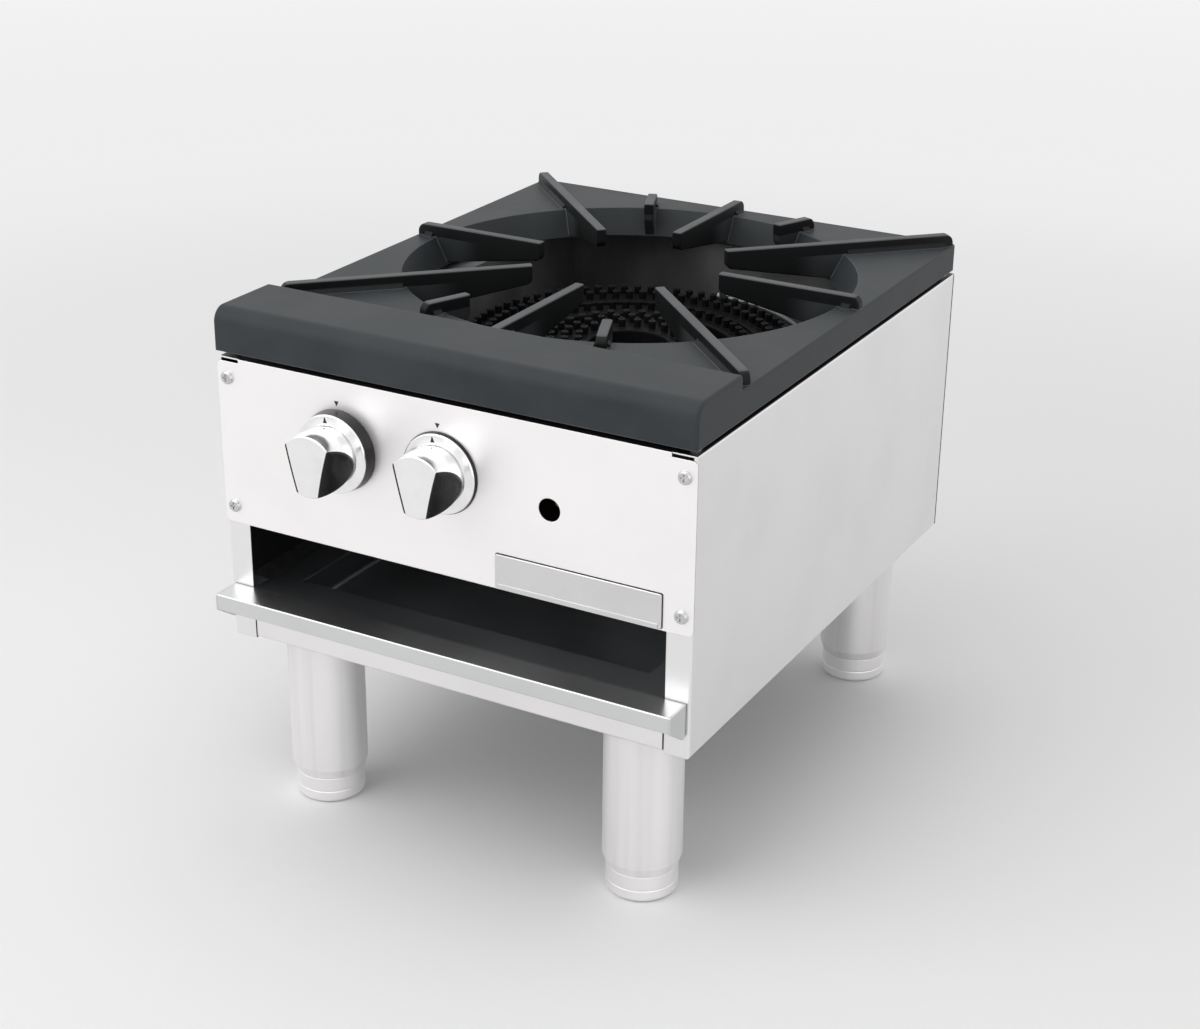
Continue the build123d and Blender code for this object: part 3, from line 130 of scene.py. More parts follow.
# ------------------------------------------------------------------------------ shader kit
class Field:
    """A shader value that ordinary arithmetic turns into Math nodes."""

    def __init__(self, nodes: Nodes, socket: bpy.types.NodeSocket) -> None:
        """Wraps one output socket.

        Args:
            nodes: the node tree that holds the socket.
            socket: the output socket.
        """
        self.nodes = nodes
        self.socket = socket

    def __add__(self, other: Any) -> Field:
        """The sum of two values."""
        return self.nodes.maths("ADD", self, other)

    def __sub__(self, other: Any) -> Field:
        """The difference of two values."""
        return self.nodes.maths("SUBTRACT", self, other)

    def __mul__(self, other: Any) -> Field:
        """The product of two values."""
        return self.nodes.maths("MULTIPLY", self, other)

    __radd__ = __add__
    __rmul__ = __mul__

    def between(self, low: float, high: float) -> Field:
        """A smooth step over this value.

        Args:
            low: where the step starts, at 0.
            high: where it ends, at 1.

        Returns:
            The step, from 0 to 1.
        """
        step = self.nodes.node(
            "ShaderNodeMapRange",
            {"interpolation_type": "SMOOTHSTEP"},
            {"Value": self, "From Min": low, "From Max": high},
        )
        return Field(self.nodes, step.outputs["Result"])


class Nodes:
    """A node tree, with a single way to add a node."""

    def __init__(self, tree: bpy.types.NodeTree) -> None:
        """Takes over a node tree and empties it.

        Args:
            tree: the node tree of a material or of the world.
        """
        self.tree = tree
        self.tree.nodes.clear()

    def node(
        self,
        kind: str,
        settings: dict[str, Any] | None = None,
        sockets: dict[str | int, Any] | None = None,
    ) -> bpy.types.Node:
        """Adds a node.

        Args:
            kind: the node's type.
            settings: properties, set before anything is linked.
            sockets: an input's name or number, and its value, field or socket.

        Returns:
            The new node.
        """
        made = self.tree.nodes.new(kind)
        for name, value in (settings or {}).items():
            setattr(made, name, value)
        for name, value in (sockets or {}).items():
            self.feed(made.inputs[name], value)
        return made

    def feed(self, target: bpy.types.NodeSocket, value: Any) -> None:
        """Gives an input a value or a link.

        Args:
            target: the input socket.
            value: a number, a colour, a field or another socket.
        """
        if isinstance(value, Field):
            value = value.socket
        if isinstance(value, bpy.types.NodeSocket):
            self.tree.links.new(value, target)
        elif isinstance(value, tuple) and target.type == "RGBA":
            target.default_value = (*value, 1.0)
        else:
            target.default_value = value

    def maths(self, operation: str, first: Any, second: Any) -> Field:
        """A Math node on two values."""
        made = self.node("ShaderNodeMath", {"operation": operation}, {0: first, 1: second})
        return Field(self, made.outputs[0])

    def shows_background(self) -> Field:
        """Tells the rays that should meet the background at its plain brightness.

        Returns:
            1 for a ray from the camera, off metal or through glass, and 0 for one that lights.
        """
        path = self.node("ShaderNodeLightPath")
        bent = self.maths(
            "MAXIMUM", path.outputs["Is Glossy Ray"], path.outputs["Is Transmission Ray"]
        )
        return self.maths("MAXIMUM", path.outputs["Is Camera Ray"], bent)


class Shader(Nodes):
    """One material's nodes, around a principled surface."""

    bevel_samples: int = 6
    edge_turn: tuple[float, float] = (0.985, 0.78)  # cosines at which an edge starts and is full
    mix_inputs: tuple[int, int, int] = (0, 6, 7)  # a colour mix's factor and its two colours
    mix_output: int = 2

    def __init__(self, name: str) -> None:
        """Makes a material with a plain principled surface.

        Args:
            name: the material's name.
        """
        self.material = bpy.data.materials.new(name)
        self.material.use_nodes = True
        super().__init__(self.material.node_tree)
        self.surface = self.node("ShaderNodeBsdfPrincipled")
        self.output = self.node(
            "ShaderNodeOutputMaterial", None, {"Surface": self.surface.outputs["BSDF"]}
        )

    def place(self) -> bpy.types.NodeSocket:
        """The surface point on the object, in metres."""
        return self.node("ShaderNodeTexCoord").outputs["Object"]

    def along(self, axis: Axis) -> Field:
        """The surface point's place along an axis, without its sign for x.

        Args:
            axis: the axis that is read.

        Returns:
            The place in metres.
        """
        parts = self.node("ShaderNodeSeparateXYZ", None, {"Vector": self.place()})
        found = Field(self, parts.outputs[axis.value])
        return self.maths("ABSOLUTE", found, 0.0) if axis is Axis.X else found

    def within(self, steps: Steps) -> Field:
        """Where the surface lies past every one of some steps.

        Args:
            steps: each an axis, the place where its step starts and the place where it ends.

        Returns:
            The mask, from 0 to 1.
        """
        masks = [self.along(axis).between(start, end) for axis, start, end in steps]
        mask = masks[0]
        for further in masks[1:]:
            mask = mask * further
        return mask

    def eased(self, radius: float) -> bpy.types.NodeSocket:
        """The surface's normal with its edges rounded off to a radius."""
        made = self.node("ShaderNodeBevel", {"samples": self.bevel_samples}, {"Radius": radius})
        return made.outputs["Normal"]

    def edges(self, radius: float) -> Field:
        """Where the surface turns an edge.

        Args:
            radius: how far the edge reaches into the flats.

        Returns:
            The mask, 0 on the flats and 1 at the edges.
        """
        flat = self.node("ShaderNodeNewGeometry").outputs["Normal"]
        turn = self.node(
            "ShaderNodeVectorMath", {"operation": "DOT_PRODUCT"}, {0: self.eased(radius), 1: flat}
        )
        return Field(self, turn.outputs["Value"]).between(*self.edge_turn)

    def noise(self, scale: float, detail: float, packed: Triple = (1.0, 1.0, 1.0)) -> Field:
        """A cloudy pattern in the object's own space.

        Args:
            scale: cycles to the metre.
            detail: how many finer octaves are laid over it.
            packed: how tightly it is packed along each axis.

        Returns:
            The pattern, around 0.5.
        """
        spread = self.node("ShaderNodeMapping", None, {"Vector": self.place(), "Scale": packed})
        made = self.node(
            "ShaderNodeTexNoise",
            None,
            {"Vector": spread.outputs["Vector"], "Scale": scale, "Detail": detail},
        )
        return Field(self, made.outputs["Fac"])

    def blend(self, factor: Any, first: Any, second: Any) -> bpy.types.NodeSocket:
        """A mix of two colours.

        Args:
            factor: how much of the second colour shows.
            first: the colour at 0.
            second: the colour at 1.

        Returns:
            The mixed colour's socket.
        """
        inputs = dict(zip(self.mix_inputs, (factor, first, second)))
        return self.node("ShaderNodeMix", {"data_type": "RGBA"}, inputs).outputs[self.mix_output]

    def relief(self, pattern: Field, depth: float, ease: float = 0.0) -> None:
        """Presses a pattern into the surface.

        Args:
            pattern: the pattern, from 0 to 1.
            depth: the relief's depth in metres.
            ease: the radius that the surface's edges are rounded off to, if any.
        """
        sockets = {"Height": pattern, "Distance": depth, "Strength": 1.0}
        if ease:
            sockets["Normal"] = self.eased(ease)
        bump = self.node("ShaderNodeBump", None, sockets)
        self.feed(self.surface.inputs["Normal"], bump.outputs["Normal"])

    def set(self, **values: Any) -> None:
        """Feeds the principled surface; underscores in a name stand for spaces."""
        for name, value in values.items():
            self.feed(self.surface.inputs[name.replace("_", " ")], value)


def scaled(colour: Colour, factor: float) -> Colour:
    """A colour made darker or lighter by a factor."""
    red, green, blue = colour
    return factor * red, factor * green, factor * blue


# -------------------------------------------------------------------------------- finishes
@dataclass(frozen=True)
class Finish:
    """A surface finish, made into a material once.

    In its kinds, a field that ends in dulling or shine is the roughness that a pattern adds or
    takes, one that ends in depth is a pattern's strength, and one that ends in tone is a factor.
    """

    name: str

    def shade(self, shader: Shader) -> None:
        """Builds the finish's nodes."""
        raise NotImplementedError

    def material(self) -> bpy.types.Material:
        """Makes the finish's material on first use.

        Returns:
            The material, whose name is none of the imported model's own.
        """
        name = f"{self.name}_finish"
        found = bpy.data.materials.get(name)
        if found is None:
            shader = Shader(name)
            self.shade(shader)
            found = shader.material
        return found


@dataclass(frozen=True)
class SatinSteel(Finish):
    """Brushed stainless or plated steel, bright outside, with painted shade where it faces inwards.
    """

    colour: Colour
    roughness: float
    metallic: float = 1.0
    grain: Grain = Grain.ACROSS
    grain_depth: float = 4.0 * MICRON
    grain_shine: float = 0.04
    grain_dulling: float = 0.06
    bend: float = 0.8 * MM
    marks_packed: Triple = (9.0, 9.0, 9.0)
    marks_depth: float = 0.05
    marks_dulling: float = 0.05
    inside: Steps = ()
    # Painted shade: the colour given to the sheet's inner side.
    inside_shade_colour: Colour = (0.075, 0.077, 0.082)
    inside_dulling: float = 0.1

    def shade(self, shader: Shader) -> None:
        """Grain in relief and roughness, faint handling marks, and painted shade inside.

        Args:
            shader: the finish's shader.
        """
        grain = shader.noise(scale=1.0, detail=4.0, packed=self.grain.value)
        marks = shader.noise(scale=1.0, detail=4.0, packed=self.marks_packed).between(0.35, 0.75)
        colour = shader.blend(marks, self.colour, scaled(self.colour, 1 - self.marks_depth))
        roughness = self.roughness - self.grain_shine + self.grain_dulling * grain
        roughness = roughness + self.marks_dulling * marks
        if self.inside:
            # Painted shade: the inner side, where the casing shades it, turns dark.
            inner = shader.within(self.inside)
            colour = shader.blend(inner, colour, self.inside_shade_colour)
            roughness = roughness + self.inside_dulling * inner
        shader.set(Base_Color=colour, Metallic=self.metallic, Roughness=roughness)
        shader.relief(grain, self.grain_depth, self.bend)


@dataclass(frozen=True)
class Chrome(Finish):
    """Bright plating with a faint orange-peel and dust."""

    colour: Colour = (0.90, 0.90, 0.905)
    roughness: float = 0.19
    haze_tone: float = 0.94
    haze_dulling: float = 0.08
    peel_depth: float = 3.0 * MICRON
    ease: float = 0.3 * MM

    def shade(self, shader: Shader) -> None:
        """Soft haze over a near-mirror, with eased edges.

        Args:
            shader: the finish's shader.
        """
        haze = shader.noise(scale=60.0, detail=3.0).between(0.4, 0.8)
        peel = shader.noise(scale=700.0, detail=2.0)
        shader.set(
            Base_Color=shader.blend(haze, self.colour, scaled(self.colour, self.haze_tone)),
            Metallic=1.0,
            Roughness=self.roughness + self.haze_dulling * haze,
        )
        shader.relief(peel, self.peel_depth, self.ease)


@dataclass(frozen=True)
class CastIron(Finish):
    """Matte black casting: sandy skin, slight cloud, and edges painted lighter as a highlight.

    Fields that end in rubbing add worn grey; those that end in highlight add a painted highlight.
    """

    colour: Colour
    rubbed_and_highlight: Colour = (0.20, 0.212, 0.222)
    roughness: float = 0.5
    gloss: float = 0.3
    cloud_rubbing: float = 0.07
    cloud_dulling: float = 0.1
    sand_rubbing: float = 0.06
    sand_shine: float = 0.06
    sand_share: float = 0.4
    skin_depth: float = 0.16 * MM
    edge: float = 1.6 * MM
    edge_highlight: float = 1.5
    tips_from: float = 0.0
    tips_reach: float = 2.0 * MM
    tips_highlight: float = 0.16

    def shade(self, shader: Shader) -> None:
        """Sandy relief; colour and gloss drift slowly; edges and tips get a painted highlight.

        Args:
            shader: the finish's shader.
        """
        sand = shader.noise(scale=900.0, detail=3.0)
        swell = shader.noise(scale=45.0, detail=2.0)
        cloud = shader.noise(scale=14.0, detail=4.0).between(0.35, 0.7)
        lighter = cloud * self.cloud_rubbing + sand.between(0.6, 0.85) * self.sand_rubbing
        # Painted highlight: the eased edges are made lighter.
        lighter = lighter + shader.edges(self.edge) * self.edge_highlight * swell
        # Painted highlight: the tips from tips_from up are made lighter.
        if self.tips_from:
            tips = shader.along(Axis.Z).between(self.tips_from, self.tips_from + self.tips_reach)
            lighter = lighter + tips * self.tips_highlight
        shader.set(
            Base_Color=self.with_soot_and_painted_light(shader, shader.blend(lighter, self.colour, self.rubbed_and_highlight)),
            Roughness=self.roughness + self.cloud_dulling * cloud - self.sand_shine * sand,
            Specular_IOR_Level=self.gloss,
        )
        skin = sand * self.sand_share + swell * (1 - self.sand_share)
        shader.relief(skin, self.skin_depth, self.edge)

    def with_soot_and_painted_light(self, shader: Shader, colour: bpy.types.NodeSocket) -> bpy.types.NodeSocket:
        """The casting's colour with soot and painted light added; a plain casting keeps its own."""
        return colour


@dataclass(frozen=True)
class GrateIron(CastIron):
    """The grate's casting: soot and painted shade on the fingers, a painted sheen on their tops."""

    soot_and_shade_colour: Colour = (0.0035, 0.004, 0.0044)
    top_sheen: Colour = (0.085, 0.09, 0.094)
    rail_rear: float = -188.0 * MM
    rail_fade: float = 1.0 * MM
    deck: float = 455.0 * MM
    deck_fade: float = 0.5 * MM
    finger_top: float = 465.5 * MM
    top_fade: float = 0.6 * MM
    middle: float = 48.0 * MM
    mouth: float = 190.0 * MM
    fire: float = 155.0 * MM

    def with_soot_and_painted_light(self, shader: Shader, colour: bpy.types.NodeSocket) -> bpy.types.NodeSocket:
        """Soot and painted shade over the deck or the mouth, and painted sheen on the fingers'
        tops.

        Args:
            shader: the grate's shader.
            colour: the clean casting's colour.

        Returns:
            The colour with soot, painted shade and painted sheen.
        """
        height, across = shader.along(Axis.Z), shader.along(Axis.X)
        back = shader.along(Axis.Y) - self.middle
        over_mouth = (across * across + back * back).between(self.mouth**2, self.fire**2)
        over_deck = height.between(self.deck, self.deck + self.deck_fade)
        behind_rail = shader.along(Axis.Y).between(self.rail_rear, self.rail_rear + self.rail_fade)
        # Soot and painted shade: what stands over the deck or near the mouth goes near-black.
        soot_and_shade_mask = shader.maths("MAXIMUM", over_mouth, over_deck) * behind_rail
        # Painted sheen: the fingers' top faces are made lighter.
        rubbed_and_highlight = height.between(self.finger_top - self.top_fade, self.finger_top) * behind_rail
        return shader.blend(rubbed_and_highlight, shader.blend(soot_and_shade_mask, colour, self.soot_and_shade_colour), self.top_sheen)


@dataclass(frozen=True)
class StainedSheet(Finish):
    """Thin shield sheet, darkened and straw-tinted by heat in upright clouds."""

    colour: Colour = (0.15, 0.152, 0.16)
    heated: Colour = (0.24, 0.235, 0.23)
    metallic: float = 0.6
    roughness: float = 0.42
    stain_dulling: float = 0.14
    speck_depth: float = 20.0 * MICRON

    def shade(self, shader: Shader) -> None:
        """Stains stretch upwards; the roughness follows them.

        Args:
            shader: the finish's shader.
        """
        stain = shader.noise(scale=18.0, detail=5.0, packed=(1.0, 1.0, 0.4)).between(0.35, 0.75)
        speck = shader.noise(scale=220.0, detail=2.0)
        shader.set(
            Base_Color=shader.blend(stain, self.colour, self.heated),
            Metallic=self.metallic,
            Roughness=self.roughness + self.stain_dulling * stain,
        )
        shader.relief(speck, self.speck_depth)


@dataclass(frozen=True)
class DullSheet(Finish):
    """Galvanised sheet, crystal-patterned, darkened as painted shade for parts inside the casing.
    """

    colour: Colour = (0.09, 0.092, 0.097)
    crystal: Colour = (0.14, 0.143, 0.15)
    metallic: float = 0.85
    roughness: float = 0.42
    crystal_dulling: float = 0.15
    crystal_scale: float = 90.0
    speck_dulling: float = 0.05
    speck_depth: float = 10.0 * MICRON

    def shade(self, shader: Shader) -> None:
        """Crystals from a cell pattern, with a fine speckle.

        Args:
            shader: the finish's shader.
        """
        cells = shader.node(
            "ShaderNodeTexVoronoi",
            {"feature": "F1"},
            {"Vector": shader.place(), "Scale": self.crystal_scale},
        )
        crystal = Field(shader, cells.outputs["Distance"]).between(0.1, 0.8)
        speck = shader.noise(scale=400.0, detail=2.0)
        roughness = self.roughness + self.crystal_dulling * crystal + self.speck_dulling * speck
        shader.set(
            Base_Color=shader.blend(crystal, self.colour, self.crystal),
            Metallic=self.metallic,
            Roughness=roughness,
        )
        shader.relief(speck, self.speck_depth)


@dataclass(frozen=True)
class Lacquer(Finish):
    """Black lacquered pipe with a slight run and dust."""

    colour: Colour = (0.02, 0.02, 0.022)
    dusty: Colour = (0.05, 0.048, 0.045)
    roughness: float = 0.32
    dust_dulling: float = 0.25
    mill_depth: float = 30.0 * MICRON

    def shade(self, shader: Shader) -> None:
        """Gloss broken by dust.

        Args:
            shader: the finish's shader.
        """
        dust = shader.noise(scale=35.0, detail=5.0).between(0.45, 0.8)
        mill = shader.noise(scale=300.0, detail=3.0)
        shader.set(
            Base_Color=shader.blend(dust, self.colour, self.dusty),
            Roughness=self.roughness + self.dust_dulling * dust,
        )
        shader.relief(mill, self.mill_depth)


@dataclass(frozen=True)
class Brass(Finish):
    """Turned brass, slightly tarnished."""

    colour: Colour = (0.72, 0.52, 0.22)
    tarnish: Colour = (0.45, 0.30, 0.13)
    roughness: float = 0.24
    tarnish_dulling: float = 0.18
    turned_dulling: float = 0.05
    turned_depth: float = 6.0 * MICRON

    def shade(self, shader: Shader) -> None:
        """Turning lines and tarnish in soft clouds.

        Args:
            shader: the finish's shader.
        """
        dulled = shader.noise(scale=70.0, detail=4.0).between(0.4, 0.75)
        turned = shader.noise(scale=1.0, detail=2.0, packed=Grain.ACROSS.value)
        roughness = self.roughness + self.tarnish_dulling * dulled + self.turned_dulling * turned
        shader.set(
            Base_Color=shader.blend(dulled, self.colour, self.tarnish),
            Metallic=1.0,
            Roughness=roughness,
        )
        shader.relief(turned, self.turned_depth)


@dataclass(frozen=True)
class SoftAluminium(Finish):
    """Drawn or satin aluminium."""

    colour: Colour
    roughness: float
    grain: Grain = Grain.ACROSS
    grain_dulling: float = 0.06
    grain_depth: float = 4.0 * MICRON
    cloud_tone: float = 0.9
    cloud_share: float = 0.4
    cloud_dulling: float = 0.05

    def shade(self, shader: Shader) -> None:
        """A light grain and soft cloud.

        Args:
            shader: the finish's shader.
        """
        grain = shader.noise(scale=1.0, detail=3.0, packed=self.grain.value)
        cloud = shader.noise(scale=25.0, detail=3.0).between(0.4, 0.75)
        darker = scaled(self.colour, self.cloud_tone)
        shader.set(
            Base_Color=shader.blend(cloud * self.cloud_share, self.colour, darker),
            Metallic=1.0,
            Roughness=self.roughness + self.grain_dulling * grain + self.cloud_dulling * cloud,
        )
        shader.relief(grain, self.grain_depth)


@dataclass(frozen=True)
class Plastic(Finish):
    """Moulded black plastic, glossy or fine-textured."""

    colour: Colour = (0.006, 0.0065, 0.007)
    roughness: float = 0.24
    gloss: float = 0.3
    haze_tone: float = 1.6
    haze_dulling: float = 0.14
    texture_depth: float = 4.0 * MICRON

    def shade(self, shader: Shader) -> None:
        """Moulding texture and finger haze.

        Args:
            shader: the finish's shader.
        """
        mould = shader.noise(scale=1500.0, detail=2.0)
        haze = shader.noise(scale=50.0, detail=3.0).between(0.45, 0.8)
        shader.set(
            Base_Color=shader.blend(haze, self.colour, scaled(self.colour, self.haze_tone)),
            Roughness=self.roughness + self.haze_dulling * haze,
            Specular_IOR_Level=self.gloss,
        )
        shader.relief(mould, self.texture_depth)


@dataclass(frozen=True)
class Ink(Finish):
    """Printed black mark."""

    colour: Colour = (0.015, 0.015, 0.016)
    worn: Colour = (0.05, 0.05, 0.05)
    roughness: float = 0.55
    wear_dulling: float = 0.1

    def shade(self, shader: Shader) -> None:
        """Slightly uneven ink.

        Args:
            shader: the finish's shader.
        """
        wear = shader.noise(scale=900.0, detail=3.0).between(0.6, 0.9)
        shader.set(
            Base_Color=shader.blend(wear, self.colour, self.worn),
            Roughness=self.roughness + self.wear_dulling * wear,
        )


def behind(face: float, facing: Facing, skin: tuple[float, float]) -> Step:
    """The step from a sheet's bright face to its inner side, where shade is painted.

    Args:
        face: the outer face's place along y.
        facing: the way that it looks.
        skin: how far behind the face the painted shade starts and is full.

    Returns:
        The step along y.
    """
    return Axis.Y, face + facing.value * skin[0], face + facing.value * skin[1]


PANEL_FACE = -264.0 * MM
REAR_FACE = 281.0 * MM
# Skins and steps that place painted shade on the sheets' inner sides.
SHEET_SKIN = (0.6 * MM, 1.0 * MM)
FLANGE_SKIN = (1.7 * MM, 2.1 * MM)
SIDE_INNER = (226.9 * MM, 226.5 * MM)
TRAY_MOUTH = (-3.0 * MM, 3.0 * MM)
INTO_CASING: Steps = (behind(PANEL_FACE, Facing.FRONT, FLANGE_SKIN),)
# Painted light: the front panel's steel is paler than the same steel elsewhere.
LIT_PANEL = SatinSteel(
    "panel_steel_lit", colour=(0.97, 0.95, 0.95), roughness=0.44,
    inside=(behind(PANEL_FACE, Facing.FRONT, SHEET_SKIN),),
)
CHANNEL = SatinSteel(
    "channel_steel", colour=(0.87, 0.855, 0.855), roughness=0.36, inside=INTO_CASING
)
# Painted shade: the side panels' steel is darker than the front panel's.
SHADED_SIDE = SatinSteel(
    "side_steel_shaded", colour=(0.85, 0.84, 0.84), roughness=0.38, grain=Grain.DEEP,
    inside=((Axis.X, *SIDE_INNER), *INTO_CASING, behind(REAR_FACE, Facing.REAR, FLANGE_SKIN)),
)
REAR = SatinSteel(
    "rear_steel", colour=(0.87, 0.86, 0.86), roughness=0.38,
    inside=(behind(REAR_FACE, Facing.REAR, SHEET_SKIN),),
)
LEG = SatinSteel(
    "leg_steel", colour=(0.89, 0.875, 0.875), roughness=0.48, metallic=0.8, grain=Grain.UPRIGHT,
    marks_packed=(60.0, 60.0, 2.0), marks_depth=0.11,
)
FOOT = SatinSteel("foot_steel", colour=(0.90, 0.885, 0.885), roughness=0.5, bend=1.5 * MM)
# Painted shade: the tray's pan behind the lip is dark, under the casing.
TRAY = SatinSteel(
    "tray_steel", colour=(0.68, 0.685, 0.69), roughness=0.3, grain_depth=1.2 * MICRON,
    bend=1.2 * MM, inside=(behind(PANEL_FACE, Facing.FRONT, TRAY_MOUTH),),
    inside_shade_colour=(0.24, 0.25, 0.265),
)
BRIGHT = Chrome("knob_chrome")
# Painted shade: the screws' plating is darker than the knobs' chrome.
SHADED_BOLT = Chrome("screw_plating_shaded", colour=(0.60, 0.60, 0.605), roughness=0.24)
GRATE = GrateIron("grate_iron", colour=(0.029, 0.0335, 0.0365), gloss=0.2)
# Painted highlight on the burner's stud tips, from tips_from up.
BURNER = CastIron(
    "burner_iron", colour=(0.005, 0.005, 0.0055), rubbed_and_highlight=(0.05, 0.052, 0.056), gloss=0.08,
    edge=0.7 * MM, tips_from=389.5 * MM,
)
SHIELD = StainedSheet("shield_sheet")
# Painted shade: the fittings inside the casing take this dark sheet.
SHADED_DULL = DullSheet("dull_sheet_shaded")
PIPE = Lacquer("pipe_lacquer")
BRASS = Brass("brass")
# Painted shade: the pilot tube's aluminium is dark where it runs behind the burner.
SHADED_TUBE = SoftAluminium("drawn_tube_shaded", colour=(0.22, 0.22, 0.23), roughness=0.4)
PLATE = SoftAluminium("name_plate", colour=(0.70, 0.695, 0.695), roughness=0.3)
GRIP = Plastic("grip_plastic")
RIM = Plastic("rim_plastic", colour=(0.008, 0.008, 0.009), roughness=0.3, gloss=0.35)
# Painted shadow: the black of the slab round the name plate.
SHADOW_PAD = Plastic("plate_shadow_pad", roughness=0.6, gloss=0.2)
INK = Ink("mark_ink")

NODE_FINISHES: dict[Finish, tuple[str, ...]] = {
    LIT_PANEL: ("control_panel",),
    CHANNEL: ("front_channel",),
    REAR: ("rear_panel",),
    SHADED_SIDE: ("side_panel_left", "side_panel_right"),
    LEG: ("leg_front_left", "leg_front_right", "leg_rear_left", "leg_rear_right"),
    FOOT: ("foot_front_left", "foot_front_right", "foot_rear_left", "foot_rear_right"),
    TRAY: ("drip_tray", "tray_end_caps"),
    GRATE: ("grate",),
    BURNER: ("outer_burner", "inner_burner"),
    SHIELD: ("heat_shield_left", "heat_shield_right", "heat_shield_front", "heat_shield_rear"),
    SHADED_DULL: (
        "leg_gussets", "tray_runner_left", "tray_runner_right", "burner_bar_front",
        "burner_bar_middle", "burner_bar_rear", "outer_air_shutter", "inner_air_shutter",
        "manifold_brackets", "pilot_bracket",
    ),
    PIPE: ("gas_manifold", "gas_elbow", "gas_inlet_pipe"),
    BRASS: (
        "outer_valve", "inner_valve", "outer_orifice", "inner_orifice", "outer_valve_stem",
        "inner_valve_stem", "pilot_valve",
    ),
    SHADED_TUBE: ("pilot_tube", "pilot_burner"),
    PLATE: ("nameplate",),
    SHADED_BOLT: ("panel_screws", "rear_screws", "leg_bolts", "grate_rests"),
    BRIGHT: ("outer_knob_handle", "inner_knob_handle", "outer_knob_skirt", "inner_knob_skirt"),
    GRIP: ("outer_knob_grips", "inner_knob_grips"),
}


# ------------------------------------------------------------------------------ mesh tools
def placed(name: str, data: bpy.types.ID) -> bpy.types.Object:
    """Adds an object to the scene.

    Args:
        name: the object's name.
        data: its mesh, lamp or camera.

    Returns:
        The new object.
    """
    made = bpy.data.objects.new(name, data)
    bpy.context.scene.collection.objects.link(made)
    return made


def finished(
    mesh: bmesh.types.BMesh, name: str, body: Body, finishes: Iterable[Finish]
) -> bpy.types.Object:
    """Turns a built mesh into a piece that rides on a body.

    Args:
        mesh: the mesh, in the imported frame; it is freed.
        name: the piece's name.
        body: the body that it moves with.
        finishes: its materials, in the order of its faces' material numbers.

    Returns:
        The new object.
    """
    for face in mesh.faces:
        face.smooth = True
    for edge in mesh.edges:
        edge.smooth = edge.calc_face_angle(0.0) < SMOOTH_BELOW
    data = bpy.data.meshes.new(name)
    mesh.to_mesh(data)
    mesh.free()
    for finish in finishes:
        data.materials.append(finish.material())
    piece = placed(name, data)
    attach(piece, body.value)
    log.info("%s rides on %s, %d faces", name, body.value, len(data.polygons))
    return piece


def lathe(
    outline: Iterable[tuple[float, float]], closed: bool, turns: int = 96
) -> bmesh.types.BMesh:
    """Turns an outline about the z axis.

    Args:
        outline: the radius and height of each point.
        closed: whether the last point joins the first one.
        turns: how many flats make the round.

    Returns:
        The turned mesh.
    """
    mesh = bmesh.new()
    points = [mesh.verts.new((radius, 0, height)) for radius, height in outline]
    ends = points[1:] + points[:1] if closed else points[1:]
    lines = [mesh.edges.new(pair) for pair in zip(points, ends)]
    bmesh.ops.spin(
        mesh, geom=points + lines, cent=(0, 0, 0), axis=(0, 0, 1), angle=2 * pi, steps=turns,
        use_merge=True,
    )
    bmesh.ops.remove_doubles(mesh, verts=mesh.verts[:], dist=WELD)
    bmesh.ops.recalc_face_normals(mesh, faces=mesh.faces[:])
    return mesh


def quarter(radius: float, height: float, ease: float, steps: int = 6) -> list[tuple[float, float]]:
    """A rounded outer corner of an outline, from its side to its top.

    Args:
        radius: of the side.
        height: of the top.
        ease: the corner's radius.
        steps: how many lines make it.

    Returns:
        The corner's points.
    """
    turns = [pi / 2 * step / steps for step in range(steps + 1)]
    return [(radius - ease + ease * cos(t), height - ease + ease * sin(t)) for t in turns]


def cut(mesh: bmesh.types.BMesh, point: Vector, outward: Vector) -> None:
    """Cuts away what lies outside a plane and closes the cut.

    Args:
        mesh: the mesh to cut.
        point: a point on the plane.
        outward: the plane's normal, towards the part that goes.
    """
    whole = mesh.verts[:] + mesh.edges[:] + mesh.faces[:]
    done = bmesh.ops.bisect_plane(
        mesh, geom=whole, dist=WELD, plane_co=point, plane_no=outward, clear_outer=True
    )
    rim = [item for item in done["geom_cut"] if isinstance(item, bmesh.types.BMEdge)]
    bmesh.ops.edgenet_fill(mesh, edges=rim)


def ease_edges(
    mesh: bmesh.types.BMesh, edges: list[bmesh.types.BMEdge], reach: float, segments: int
) -> None:
    """Rounds off some edges.

    Args:
        mesh: the mesh that they belong to.
        edges: the edges.
        reach: how far the rounding reaches from each edge.
        segments: how many flats make it.
    """
    bmesh.ops.bevel(
        mesh, geom=edges, offset=reach, offset_type="OFFSET", segments=segments, profile=0.5,
        affect="EDGES", material=-1, clamp_overlap=True,
    )


def pointer(width: float, height: float, thickness: float, way: Way) -> bmesh.types.BMesh:
    """A small flat triangle, in a frame of x across, y up and z out.

    Args:
        width: across its base.
        height: from base to point.
        thickness: of the ink.
        way: the way that it points.

    Returns:
        The mesh.
    """
    mesh = bmesh.new()
    half, tip = width / 2, way.value * height / 2
    places = ((-half, -tip, 0), (half, -tip, 0), (0, tip, 0))
    face = mesh.faces.new([mesh.verts.new(place) for place in places])
    raised = bmesh.ops.extrude_face_region(mesh, geom=[face])
    top = [item for item in raised["geom"] if isinstance(item, bmesh.types.BMVert)]
    bmesh.ops.translate(mesh, verts=top, vec=(0, 0, thickness))
    bmesh.ops.recalc_face_normals(mesh, faces=mesh.faces[:])
    return mesh


# --------------------------------------------------------------------------- sub-assemblies
OUT_OF_PANEL = Matrix(((1, 0, 0), (0, 0, -1), (0, 1, 0))).to_4x4()
TOWARDS_REAR = Matrix(((1, 0, 0), (0, 0, 1), (0, -1, 0))).to_4x4()


